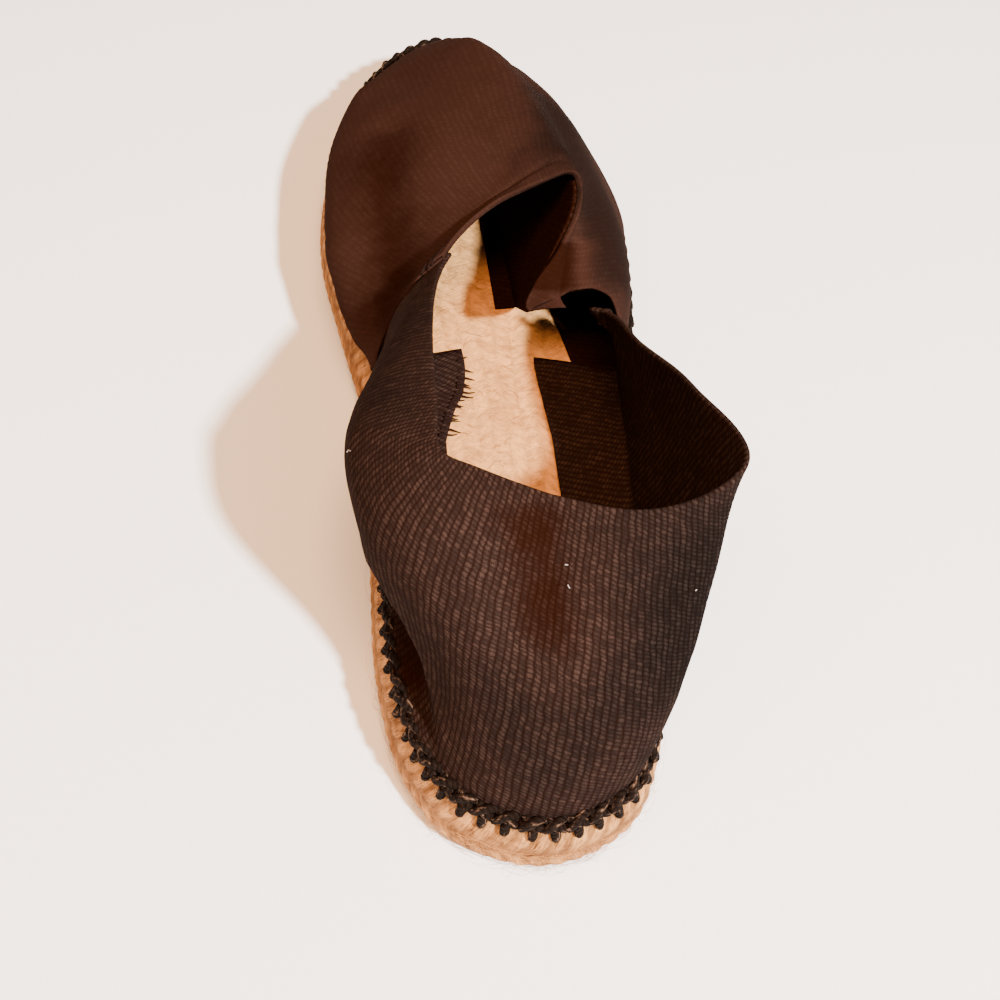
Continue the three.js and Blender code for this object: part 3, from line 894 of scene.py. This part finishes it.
def cut_cloth_map(piece, row, column, fold_row):
    """Unwraps a panel with little stretch, cut apart at its fold; each part is mapped in metres of flat
    cloth, with its foot at 0 and the middle of the panel upright."""
    mesh = piece.data
    for edge in mesh.edges:
        edge.use_seam = all(row[vertex] == fold_row for vertex in edge.vertices)
    mesh.uv_layers.new(name="cloth")
    bpy.context.view_layer.objects.active = piece
    piece.select_set(True)
    bpy.ops.object.mode_set(mode="EDIT")
    bpy.ops.mesh.select_all(action="SELECT")
    bpy.ops.uv.unwrap(method="MINIMUM_STRETCH", fill_holes=False, correct_aspect=False, margin=0.001)
    bpy.ops.object.mode_set(mode="OBJECT")
    piece.select_set(False)
    layer = mesh.uv_layers["cloth"]
    flat = np.zeros(len(layer.uv) * 2)
    layer.uv.foreach_get("vector", flat)
    flat = flat.reshape(-1, 2)
    corners = np.zeros(len(mesh.loops), int)
    mesh.loops.foreach_get("vertex_index", corners)
    places = np.array([vertex.co for vertex in mesh.vertices])
    beyond_fold = [max(row[vertex] for vertex in face.vertices) > fold_row for face in mesh.polygons]
    beyond_fold = np.repeat(beyond_fold, 4)
    edges = np.array([edge.vertices for edge in mesh.edges])
    real = np.linalg.norm(places[edges[:, 0]] - places[edges[:, 1]], axis=1)
    middle = np.abs(column - 0.5) < 0.51 / len(set(column))
    for side in (False, True):
        corner = np.where(beyond_fold == side)[0]
        at_vertex = np.full((len(places), 2), np.nan)
        at_vertex[corners[corner]] = flat[corner]
        drawn = np.linalg.norm(at_vertex[edges[:, 0]] - at_vertex[edges[:, 1]], axis=1)
        size = np.nanmedian(real / drawn)
        known = np.where(middle & ~np.isnan(at_vertex[:, 0]))[0]
        foot, top = known[row[known].argmin()], known[row[known].argmax()]
        up = (at_vertex[top] - at_vertex[foot]) * (-1 if side else 1)
        turn = math.pi / 2 - math.atan2(up[1], up[0])
        spin = np.array(((math.cos(turn), -math.sin(turn)), (math.sin(turn), math.cos(turn))))
        flat[corner] = (flat[corner] - at_vertex[foot]) @ spin.T * size
    layer.uv.foreach_set("vector", flat.ravel())


def thicken(piece, thickness):
    solid = piece.modifiers.new("ply", "SOLIDIFY")
    solid.thickness = thickness
    solid.offset = 0.0


def stand_panel(last, canvas, name, turns, shares, out, past, reach):
    """Places of a panel that stands slack and creased on the sole, and of the canvas's middle under it."""
    middle = last.canvas(turns, shares)
    facing, climb = last.canvas_frame(turns, shares)
    out = out + crease_heights(last, name, middle) + slack_heights(middle)
    places = middle + facing * out[:, None] + climb * past[:, None]
    return lay_foot(last, turns, reach, places, canvas.ply), middle


def sew_panel(last, canvas, name, grid, fold_row, places, middle, inside_shade):
    """Makes a panel from its grid and places, with its finish, tones, flat map and ply."""
    bm, column, row = grid
    move_vertices(bm.verts, places)
    bmesh.ops.reverse_faces(bm, faces=bm.faces)
    piece = to_object(name + "_canvas", bm, cotton_canvas(name, canvas))
    set_tones(last, name, piece.data, middle, inside_shade)
    cut_cloth_map(piece, row, column, fold_row)
    thicken(piece, canvas.ply)
    dress(piece, "upper")


class ESPADRILLE_OT_vamp(bpy.types.Operator):
    """Makes the vamp: one layer of canvas over the toes, hemmed at the throat"""

    bl_idname = "espadrille.vamp"
    bl_label = "Vamp"

    columns = 210
    outer_cuts = 62
    hem_cuts = 7
    rib_cuts = 9
    # Widths of the hem's step and groove as shares of the hem, and of the lap's rise as a share of the rib
    step_width = 0.3
    groove_width = 0.22
    lap_rise = 0.06

    def execute(self, context):
        shoe = context.scene.espadrille
        last, canvas = Last(shoe.form), shoe.canvas
        rows, fold_row = panel_rows(canvas.hem_gap, self.outer_cuts, np.linspace(1, 0, self.hem_cuts))
        grid = flat_grid(self.columns, len(rows))
        column, row = grid[1:]
        shares, offset, past, reach = rows[row].T
        ends = np.interp(shares, *np.array(VAMP_END).T)
        turns = (VAMP_START + column * (ends - VAMP_START)) / len(RIBS)
        hem_share = canvas.hem / self.rib_lengths(last, turns)
        inside = row > fold_row + HALF_FOLD
        at_fold = turns[row == fold_row][np.rint(column * self.columns).astype(int)]
        turns = np.where(inside, at_fold, turns)
        shares = np.where(inside, 1 - (1 - shares) * hem_share, shares)
        past_hem = (shares - 1 + hem_share) / hem_share
        step = smooth_step(past_hem / self.step_width) - np.exp(-((past_hem / self.groove_width) ** 2))
        lap = shoe.form.vamp_lap * smooth_step(shares / self.lap_rise) + canvas.ply / 2
        out = offset + lap + canvas.hem_step * step * ~inside
        places, middle = stand_panel(last, canvas, "vamp", turns, shares, out, past, reach)
        sew_panel(last, canvas, "vamp", grid, fold_row, places, middle, np.zeros(len(row)))
        return {"FINISHED"}

    def rib_lengths(self, last, turns):
        """Length of the canvas from sole to edge at each turn."""
        shares = np.linspace(0, 1, self.rib_cuts)
        cuts = [last.canvas(turns, np.full(len(turns), share)) for share in shares]
        return sum(np.linalg.norm(far - near, axis=1) for near, far in zip(cuts, cuts[1:]))


class ESPADRILLE_OT_heel_piece(bpy.types.Operator):
    """Makes the heel piece: doubled over at the collar, its inner layer turned in on the footbed"""

    bl_idname = "espadrille.heel_piece"
    bl_label = "Heel piece"

    columns = 170
    outer_cuts = 46
    inner_cuts = 40
    turn_in_cuts = 14
    lowest_share = 0.02

    def execute(self, context):
        shoe = context.scene.espadrille
        last, canvas = Last(shoe.form), shoe.canvas
        standing = np.linspace(1, self.lowest_share, self.inner_cuts)
        inner_shares = np.append(standing, np.full(self.turn_in_cuts, self.lowest_share))
        rows, fold_row = panel_rows(canvas.collar_gap, self.outer_cuts, inner_shares)
        grid = flat_grid(self.columns, len(rows))
        column, row = grid[1:]
        shares, offset, past, reach = rows[row].T
        starts = np.interp(shares, *np.array(HEEL_START).T)
        ribs = starts + column * (HEEL_END - starts)
        places, middle = stand_panel(last, canvas, "heel", ribs / len(RIBS), shares, offset, past, reach)
        turned_in = (row - len(rows) + self.turn_in_cuts + 1).clip(0) / self.turn_in_cuts
        places = self.lay_on_footbed(last, canvas, ribs, turned_in, places)
        # Painted shade on the inner layer, where it stands and where it is turned in
        inner_tones = np.where(row > fold_row + HALF_FOLD, INNER_TONE, 0)
        inside_shade = np.where(turned_in > 0, TURNED_IN_TONE, inner_tones)
        sew_panel(last, canvas, "heel", grid, fold_row, places, middle, inside_shade)
        return {"FINISHED"}

    @staticmethod
    def lay_on_footbed(last, canvas, ribs, turned_in, places):
        """Moves the turned-in rows onto the footbed, with a slight wave at their free edge."""
        width = np.interp(ribs, TURN_IN_RIBS, TURN_IN_WIDTHS) * MM
        wave = np.array([noise.noise(Vector((rib * WAVES_PER_RIB, 0, 5))) for rib in ribs])
        laid = places - last.outward(ribs / len(RIBS)) * (turned_in * width)[:, None]
        bed = last.form.sole_thickness + last.lift(laid[:, 1] - last.shift[1])
        laid[:, 2] = bed + canvas.ply * TURN_IN_SEAT + turned_in * (TURN_IN_RISE + TURN_IN_WAVE * wave) * MM
        return np.where(turned_in[:, None] > 0, laid, places)


def on_footbed(last, line, shares, over):
    """Places along a line on the footbed, at a height over it."""
    line = np.array(line)
    stops = np.linspace(0, 1, len(line))
    along = np.interp(shares, stops, line[:, 0]) * last.form.sole_length
    aside = np.interp(shares, stops, line[:, 1]) * last.form.ball_width / 2
    height = last.form.sole_thickness + last.lift(along) + over
    return np.stack([aside, along, height], axis=1) + last.shift


class ESPADRILLE_OT_vamp_lining(bpy.types.Operator):
    """Makes the vamp's lining where it shows: hung from the outer wing to the footbed, and turned in"""

    bl_idname = "espadrille.vamp_lining"
    bl_label = "Vamp lining"

    columns = 56
    turned_in_columns = 18
    hung_cuts = 22
    laid_cuts = 8

    def execute(self, context):
        shoe = context.scene.espadrille
        last, canvas = Last(shoe.form), shoe.canvas
        # The lining and its turned-in end take the deep colour: painted shade inside the throat
        material = cotton_canvas("lining", canvas)
        bm, column, row = flat_grid(self.columns, self.hung_cuts + self.laid_cuts + 1)
        turns = (LINING_RIBS[0] + column * (LINING_RIBS[1] - LINING_RIBS[0])) / len(RIBS)
        edge_share = np.ones(len(turns))
        top = last.canvas(turns, edge_share)
        out = shoe.form.vamp_lap - canvas.ply + crease_heights(last, "vamp", top) + slack_heights(top)
        top = top + last.canvas_frame(turns, edge_share)[0] * out[:, None]
        hung = np.clip(row / self.hung_cuts, 0, 1)[:, None]
        laid = np.clip((row - self.hung_cuts) / self.laid_cuts, 0, 1)[:, None]
        foot = on_footbed(last, LINING_FOOT, column, canvas.ply)
        edge = on_footbed(last, LINING_EDGE, column, canvas.ply)
        sag = np.sin(hung * math.pi) * canvas.lining_sag * np.array(LINING_SAG_WAY)
        hanging = top + (foot - top) * hung + sag
        places = np.where(laid > 0, foot + (edge - foot) * laid, hanging)
        self.finish("vamp_lining", bm, places, material, canvas)
        bm, column, row = flat_grid(self.turned_in_columns, self.laid_cuts + 1)
        across = (row / self.laid_cuts)[:, None]
        foot = on_footbed(last, TURNED_IN_FOOT, column, canvas.ply)
        edge = on_footbed(last, TURNED_IN_EDGE, column, canvas.ply)
        self.finish("vamp_turn_in", bm, foot + (edge - foot) * across, material, canvas)
        return {"FINISHED"}

    @staticmethod
    def finish(name, bm, places, material, canvas):
        """Lays a cloth's places and its map, which is seen aslant from above, and gives it its ply."""
        move_vertices(bm.verts, places)
        layer = bm.loops.layers.uv.new("cloth")
        for face in bm.faces:
            for loop in face.loops:
                loop[layer].uv = (loop.vert.co.y, loop.vert.co.z - loop.vert.co.x)
        piece = to_object(name, bm, material)
        thicken(piece, canvas.ply)
        dress(piece, "upper")


def braid_relief(jute, lengths, lanes):
    """How far braid strands stand up, from 0 in the grooves to 1 on the crests."""
    lane = np.floor(lanes)
    across = lanes - lane - 0.5
    side = np.mod(np.abs(lane), 2) * 2 - 1
    strand = lengths / jute.strand_pitch + across * side * STRAND_SLANT
    ridge = np.sin(math.pi * (strand - np.floor(strand)))
    dome = np.cos(math.pi * across)
    return np.sqrt(np.clip(ridge, 0, 1)) * (LANE_EDGE + (1 - LANE_EDGE) * dome)


class ESPADRILLE_OT_sole(bpy.types.Operator):
    """Makes the sole: a jute braid wound on edge round a core, seen on its side, footbed and underside"""

    bl_idname = "espadrille.sole"
    bl_label = "Sole"

    columns = 520
    side_lanes = 2
    side_cuts = 24
    lane_cuts = 6
    # How deep the footbed's grooves are as a share of the side's; over what shares of the way the grooves
    # turn round the sole's edges, the look of the footbed sets in and the grooves run out at the core; and
    # how near the ends of the winding are drawn together
    footbed_relief = 0.35
    side_turn = 0.12
    footbed_start = 0.1
    core_fade = 0.07
    merging = 0.02 * MM

    def execute(self, context):
        shoe = context.scene.espadrille
        last, jute, thickness = Last(shoe.form), shoe.jute, shoe.form.sole_thickness
        lanes_in = round(shoe.form.ball_width / 2 / jute.lane_width)
        rings = lanes_in * self.lane_cuts
        bm, column, row = flat_grid(self.columns, 2 * rings + self.side_cuts + 1)
        turns = column % 1
        lengths = np.interp(column, last.turn_marks, last.length_marks)
        strands = round(last.length_marks[-1] / jute.strand_pitch)
        lengths = lengths * strands * jute.strand_pitch / last.length_marks[-1]
        climb = np.clip((row - rings) / self.side_cuts, 0, 1)
        outs, ups = np.array(SOLE_SIDE).T
        place = last.beside_sole(turns, np.interp(climb, ups, outs * MM), climb * thickness)
        inset = np.maximum(rings - row, row - rings - self.side_cuts).clip(0) / rings
        lanes = climb * self.side_lanes + np.where(row > rings, 1, -1) * inset * lanes_in
        flat = place * (1 - inset[:, None]) + self.core(last, place) * inset[:, None]
        facing_up = row > rings + self.side_cuts // 2
        lifted = np.where(facing_up, thickness, 0) + last.lift(flat[:, 1] - last.shift[1])
        flat[:, 2] = np.where(inset > 0, lifted, place[:, 2])
        relief = jute.relief * np.where(facing_up & (inset > 0), self.footbed_relief, 1)
        relief = relief * (1 - smooth_step((inset - 1 + self.core_fade) / self.core_fade))
        groove = (1 - braid_relief(jute, lengths, lanes)) * relief
        on_side = smooth_step(np.minimum(climb, 1 - climb) / self.side_turn)
        inward = -last.outward(turns) * on_side[:, None]
        inward[:, 2] += np.where(facing_up, -1, 1) * (1 - on_side)
        move_vertices(bm.verts, flat + inward * groove[:, None])
        footbed = bm.verts.layers.float.new("footbed")
        inside = np.where(facing_up, smooth_step(inset / self.footbed_start), 0)
        for vertex, share in zip(bm.verts, inside):
            vertex[footbed] = share
        layer = bm.loops.layers.uv.new("braid")
        bm.verts.index_update()
        for face in bm.faces:
            for loop in face.loops:
                spot = loop.vert.index
                loop[layer].uv = (lengths[spot], lanes[spot])
        bmesh.ops.remove_doubles(bm, verts=bm.verts, dist=self.merging)
        bmesh.ops.reverse_faces(bm, faces=bm.faces)
        piece = to_object("wound_jute_sole", bm, jute_braid(jute))
        dress(piece, "sole")
        return {"FINISHED"}

    @staticmethod
    def core(last, place):
        """The line that the braid is wound round, from the middle of the heel to the middle of the toes."""
        size = last.form.sole_length
        along = (place[:, 1] - last.shift[1]) / size
        middle_along = CORE_START + np.clip(along, 0, 1) * CORE_LENGTH
        aside = np.interp(middle_along, CORE_ALONG, CORE_ASIDE)
        core = np.zeros_like(place)
        core[:, 0] = aside * last.form.ball_width / 2 + last.shift[0]
        core[:, 1] = middle_along * size + last.shift[1]
        return core


def add_thread(bm, layer, points, radii, sides, turns=0.0):
    """Adds a thread along points to a bmesh, from a grid wrapped round them; it tapers with radii."""
    points = np.array(points, float)
    rings = len(points)
    made = bmesh.ops.create_grid(bm, x_segments=sides, y_segments=rings - 1, size=0.5)["verts"]
    spots = np.array([vertex.co for vertex in made]) + 0.5
    ring = np.rint(spots[:, 1] * (rings - 1)).astype(int)
    ahead = unit(np.gradient(points, axis=0))
    beside = unit(np.cross(ahead, np.where(np.abs(ahead[:, 2:]) > STEEP, (1.0, 0, 0), (0, 0, 1.0))))
    above = np.cross(beside, ahead)
    around = 2 * math.pi * (spots[:, 0] + turns)
    reach = np.broadcast_to(radii, rings)[ring]
    wrap = beside[ring] * np.cos(around)[:, None] + above[ring] * np.sin(around)[:, None]
    move_vertices(made, points[ring] + wrap * reach[:, None])
    if layer is not None:
        run = np.append(0, np.cumsum(np.linalg.norm(np.diff(points, axis=0), axis=1)))
        index = {vertex: i for i, vertex in enumerate(made)}
        for face in {face for vertex in made for face in vertex.link_faces}:
            for loop in face.loops:
                i = index[loop.vert]
                loop[layer].uv = (spots[i, 0], run[ring[i]])


def curve_through(points, cuts):
    """Points on a smooth open curve through a few places."""
    points = np.array(points, float)
    ends = np.vstack([2 * points[0] - points[1], points, 2 * points[-1] - points[-2]])
    walk = np.linspace(0, len(points) - 1 - 1e-9, cuts)
    first = np.floor(walk).astype(int)
    share = (walk - first)[:, None]
    a, b, c, d = (ends[first + step] for step in range(4))
    return b + 0.5 * share * (c - a + share * (2 * a - 5 * b + 4 * c - d + share * (3 * (b - c) + d - a)))


def close_threads(name, bm, gap, material, node=None):
    """Makes an object of threads, with their seams and ends drawn together."""
    bmesh.ops.remove_doubles(bm, verts=bm.verts, dist=gap)
    bmesh.ops.recalc_face_normals(bm, faces=bm.faces)
    dress(to_object(name, bm, material), node)


class ESPADRILLE_OT_edge_stitches(bpy.types.Operator):
    """Makes the blanket stitches that hold the canvas to the sole"""

    bl_idname = "espadrille.edge_stitches"
    bl_label = "Edge stitches"

    sides = 8

    def execute(self, context):
        shoe = context.scene.espadrille
        last, thread = Last(shoe.form), shoe.thread
        around = last.length_marks[-1]
        count = round(around / thread.pitch)
        chance = random.Random(7)
        bm = bmesh.new()
        layer = bm.loops.layers.uv.new("thread")
        for stitch in range(count):
            start = around * (stitch + chance.uniform(-STITCH_DRIFT, STITCH_DRIFT)) / count
            for path, thickness in STITCH_STRANDS:
                sway = chance.uniform(-STITCH_SWAY, STITCH_SWAY)
                swayed = curve_through(path, STRAND_CUTS) + (sway, sway * STITCH_SWAY_OUT, 0)
                along, out, up = swayed.T * MM
                turns = last.turns_at(start + along)
                tuck = np.interp(turns * len(RIBS), TUCK_RIBS, TUCK_SHARES)
                out = out - tuck * TUCK_IN
                up = np.where(up < 0, up * (1 - tuck * TUCK_UP), up)
                points = last.beside_sole(turns, out, shoe.form.sole_thickness + up)
                swell = np.sqrt(1 - np.linspace(-1, 1, len(points)) ** 4)
                radii = thread.diameter / 2 * thickness * chance.uniform(*STITCH_THICKNESS) * swell
                add_thread(bm, layer, points, radii, self.sides, chance.random())
        material = waxed_thread(thread)
        close_threads("edge_stitches", bm, STRAND_CLOSING, material, "edge_stitching")
        return {"FINISHED"}


class ESPADRILLE_OT_loose_fibres(bpy.types.Operator):
    """Makes the loose jute fibres round the sole, most of them at the heel, and the hairs on the footbed"""

    bl_idname = "espadrille.loose_fibres"
    bl_label = "Loose fibres"

    sides = 3
    patch_size = 9 * MM

    def execute(self, context):
        shoe = context.scene.espadrille
        last, jute = Last(shoe.form), shoe.jute
        chance = random.Random(11)
        bm = bmesh.new()
        for number in range(jute.fibres):
            turn = chance.gauss(*FIBRE_HEEL) if number % 2 == 0 else chance.random()
            up = shoe.form.sole_thickness * chance.uniform(*FIBRE_UP)
            reach = chance.uniform(*(FIBRE_LONG_REACH if number % 4 == 0 else FIBRE_SHORT_REACH)) * MM
            run = chance.uniform(*FIBRE_RUN)
            droop = chance.uniform(*FIBRE_DROOP) * MM
            curl = chance.uniform(*FIBRE_CURL) * MM
            steps = np.linspace(0, 1, THREAD_CUTS)
            out = FIBRE_ROOT + reach * np.sin(steps * chance.uniform(*FIBRE_BEND))
            height = up + droop * steps + curl * np.sin(steps * FIBRE_CURL_ANGLE)
            points = last.beside_sole(turn + run * steps, out, np.maximum(height, FIBRE_LOWEST))
            add_thread(bm, None, points, np.linspace(*FIBRE_RADII, THREAD_CUTS) * MM, self.sides)
        for _ in range(jute.hairs):
            steps = np.linspace(-0.5, 0.5, HAIR_CUTS) * chance.uniform(*HAIR_LENGTH) * MM
            bend = np.linspace(-1, 1, HAIR_CUTS)
            heading = chance.gauss(*HAIR_HEADING) + bend * chance.uniform(*HAIR_BEND)
            along = chance.uniform(*HAIR_ALONG) * shoe.form.sole_length + steps * np.sin(heading)
            aside = chance.uniform(*HAIR_ASIDE) * shoe.form.ball_width / 2 + steps * np.cos(heading)
            height = shoe.form.sole_thickness + last.lift(along) + chance.uniform(*HAIR_OVER) * MM
            points = np.stack([aside, along, height], axis=1) + last.shift
            add_thread(bm, None, points, HAIR_RADIUS, self.sides)
        material = plain_fibre("jute fibre", jute.light_colour, jute.dark_colour, self.patch_size, 0.6)
        close_threads("loose_jute_fibres", bm, THREAD_CLOSING, material)
        return {"FINISHED"}


class ESPADRILLE_OT_loose_threads(bpy.types.Operator):
    """Makes the heel piece's frayed threads, the tacks at the throat's ends and the lint on the canvas"""

    bl_idname = "espadrille.loose_threads"
    bl_label = "Loose threads"

    sides = 5
    lint_sides = 4
    thread_patch = 0.8 * MM
    lint_patch = 2 * MM

    def execute(self, context):
        shoe = context.scene.espadrille
        last, canvas = Last(shoe.form), shoe.canvas
        chance = random.Random(5)
        threads = bmesh.new()
        for rib in np.linspace(*FRAY_RIBS, FRAY_THREADS):
            self.fray(threads, last, rib + chance.uniform(-FRAY_SCATTER, FRAY_SCATTER), chance)
        for ends in TACKS:
            self.tack(threads, last, ends)
        dyes = canvas.deep_dye_and_shade_colour, canvas.heel_colour
        cotton = plain_fibre("cotton thread", *dyes, self.thread_patch, 0.95)
        close_threads("frayed_threads", threads, THREAD_CLOSING, cotton)
        lint = bmesh.new()
        for rib, share, size, turn in LINT:
            self.lint(lint, last, rib / len(RIBS), share, size * MM, turn, chance)
        pale = plain_fibre("cotton lint", canvas.lint_colour, canvas.worn_colour, self.lint_patch, 0.9)
        close_threads("lint", lint, THREAD_CLOSING, pale)
        return {"FINISHED"}

    def fray(self, bm, last, rib, chance):
        """One weft thread that sticks out of the cloth's edge and lies on the footbed."""
        steps = np.linspace(0, 1, THREAD_CUTS)
        edge = np.interp(rib, TURN_IN_RIBS, TURN_IN_WIDTHS) * MM
        reach = edge - FRAY_START * MM + steps * chance.uniform(*FRAY_LENGTHS) * MM
        turns = (rib + chance.uniform(-FRAY_LEAN, FRAY_LEAN) * steps) / len(RIBS)
        wave = FRAY_WAVE * np.sin(steps * chance.uniform(*FRAY_WAVE_ANGLES))
        height = last.form.sole_thickness + (np.linspace(*FRAY_HEIGHTS, THREAD_CUTS) + wave) * MM
        points = last.beside_sole(turns, -last.form.seam_inset - reach, height)
        add_thread(bm, None, points, np.linspace(*FRAY_RADII, THREAD_CUTS) * MM, self.sides)

    def tack(self, bm, last, ends):
        """One tight stitch over the edge of the vamp."""
        (rib, share), (far_rib, far_share) = ends
        turns = np.linspace(rib, far_rib, THREAD_CUTS) / len(RIBS)
        shares = np.linspace(share, far_share, THREAD_CUTS)
        facing = last.canvas_frame(turns, shares)[0]
        rise = TACK_OUT + TACK_BULGE * np.sin(np.linspace(0, math.pi, THREAD_CUTS))
        points = last.canvas(turns, shares) + facing * rise[:, None]
        add_thread(bm, None, points, TACK_RADIUS, self.sides)

    def lint(self, bm, last, turn, share, size, heading, chance):
        """One curled fibre on the canvas."""
        place, share = np.array([turn]), np.array([share])
        facing, climb = (vector[0] for vector in last.canvas_frame(place, share))
        beside = np.cross(climb, facing)
        steps = np.linspace(-0.5, 0.5, THREAD_CUTS)[:, None] * size
        curl = np.linspace(0, chance.uniform(*LINT_CURL_ANGLES), THREAD_CUTS)
        bend = np.sin(curl)[:, None] * size * LINT_BEND
        ahead = beside * math.cos(heading) + climb * math.sin(heading)
        across = climb * math.cos(heading) - beside * math.sin(heading)
        points = last.canvas(place, share) + ahead * steps + across * bend + facing * LINT_OUT
        add_thread(bm, None, points, LINT_RADIUS, self.lint_sides)


class ESPADRILLE_OT_stage(bpy.types.Operator):
    """Makes the floor, the lights and the camera"""

    bl_idname = "espadrille.stage"
    bl_label = "Stage"

    def execute(self, context):
        shoe = context.scene.espadrille
        stage = shoe.stage
        shift = Vector(Last(shoe.form).shift)
        self.make_floor(stage)
        self.make_lights(context.scene)
        self.make_camera(context.scene, stage, shift)
        return {"FINISHED"}

    @staticmethod
    def make_floor(stage):
        """Pale painted floor: matt and even."""
        material, add, finish = new_material("pale matt paint")
        place = add("TexCoord", (), "Object")
        cloud = add("TexNoise", {"Vector": place, "Scale": 3.0})
        duller = tuple(FLOOR_CLOUD * part for part in stage.floor_colour)
        paint = {0: cloud, 6: opaque(stage.floor_colour), 7: opaque(duller)}
        finish({"Base Color": add("Mix", paint, 2, data_type="RGBA"), "Roughness": 0.9})
        bm = bmesh.new()
        bmesh.ops.create_grid(bm, x_segments=4, y_segments=4, size=FLOOR_SIZE)
        to_object("floor", bm, material, smooth=False)

    @staticmethod
    def make_lights(scene):
        world = bpy.data.worlds.new("studio")
        world.use_nodes = True
        background = world.node_tree.nodes["Background"]
        background.inputs["Color"].default_value = opaque(linear(FILL_COLOUR))
        background.inputs["Strength"].default_value = FILL_STRENGTH
        scene.world = world
        for name, place, size, power, tint in LAMPS:
            light = bpy.data.lights.new(name, "AREA")
            light.shape = "DISK"
            light.size = size
            light.energy = power
            light.color = linear(tint)
            lamp = bpy.data.objects.new(name, light)
            lamp.location = place
            lamp.rotation_euler = (-Vector(place)).to_track_quat("-Z", "Y").to_euler()
            scene.collection.objects.link(lamp)

    @staticmethod
    def make_camera(scene, stage, shift):
        camera = bpy.data.cameras.new("camera")
        camera.sensor_fit = "HORIZONTAL"
        camera.sensor_width = SENSOR_WIDTH
        camera.lens = camera.sensor_width * stage.focal_share
        camera.clip_start = NEAREST_SIGHT
        eye = bpy.data.objects.new("camera", camera)
        turn = Matrix.Rotation(-stage.azimuth, 4, "Z") @ Matrix.Rotation(math.pi / 2 - stage.dip, 4, "X")
        roll = Matrix.Rotation(stage.roll, 4, "Z")
        eye.matrix_world = Matrix.Translation(Vector(stage.eye) + shift) @ turn @ roll
        scene.collection.objects.link(eye)
        scene.camera = eye


class ESPADRILLE_PT_panel(bpy.types.Panel):
    """Lists the pieces of the espadrille"""

    bl_label = "Espadrille"
    bl_idname = "ESPADRILLE_PT_panel"
    bl_space_type = "VIEW_3D"
    bl_region_type = "UI"
    bl_category = "Espadrille"

    def draw(self, context):
        for operator in OPERATORS:
            self.layout.operator(operator.bl_idname)
        for group in ("form", "canvas", "jute", "thread", "stage"):
            settings = getattr(context.scene.espadrille, group)
            box = self.layout.box()
            box.label(text=group.capitalize())
            for name in settings.__annotations__:
                box.prop(settings, name)


GROUPS = (
    ESPADRILLE_PG_form,
    ESPADRILLE_PG_canvas,
    ESPADRILLE_PG_jute,
    ESPADRILLE_PG_thread,
    ESPADRILLE_PG_stage,
    ESPADRILLE_PG_settings,
)
OPERATORS = (
    ESPADRILLE_OT_stage,
    ESPADRILLE_OT_sole,
    ESPADRILLE_OT_heel_piece,
    ESPADRILLE_OT_vamp,
    ESPADRILLE_OT_vamp_lining,
    ESPADRILLE_OT_edge_stitches,
    ESPADRILLE_OT_loose_fibres,
    ESPADRILLE_OT_loose_threads,
)


def register():
    for cls in (*GROUPS, *OPERATORS, ESPADRILLE_PT_panel):
        bpy.utils.register_class(cls)
    bpy.types.Scene.espadrille = PointerProperty(type=ESPADRILLE_PG_settings)


def unregister():
    del bpy.types.Scene.espadrille
    for cls in reversed((*GROUPS, *OPERATORS, ESPADRILLE_PT_panel)):
        bpy.utils.unregister_class(cls)


def main():
    register()
    bpy.ops.espadrille.stage()
    bpy.ops.espadrille.sole()
    bpy.ops.espadrille.heel_piece()
    bpy.ops.espadrille.vamp()
    bpy.ops.espadrille.vamp_lining()
    bpy.ops.espadrille.edge_stitches()
    bpy.ops.espadrille.loose_fibres()
    bpy.ops.espadrille.loose_threads()


if __name__ == "__main__":
    main()
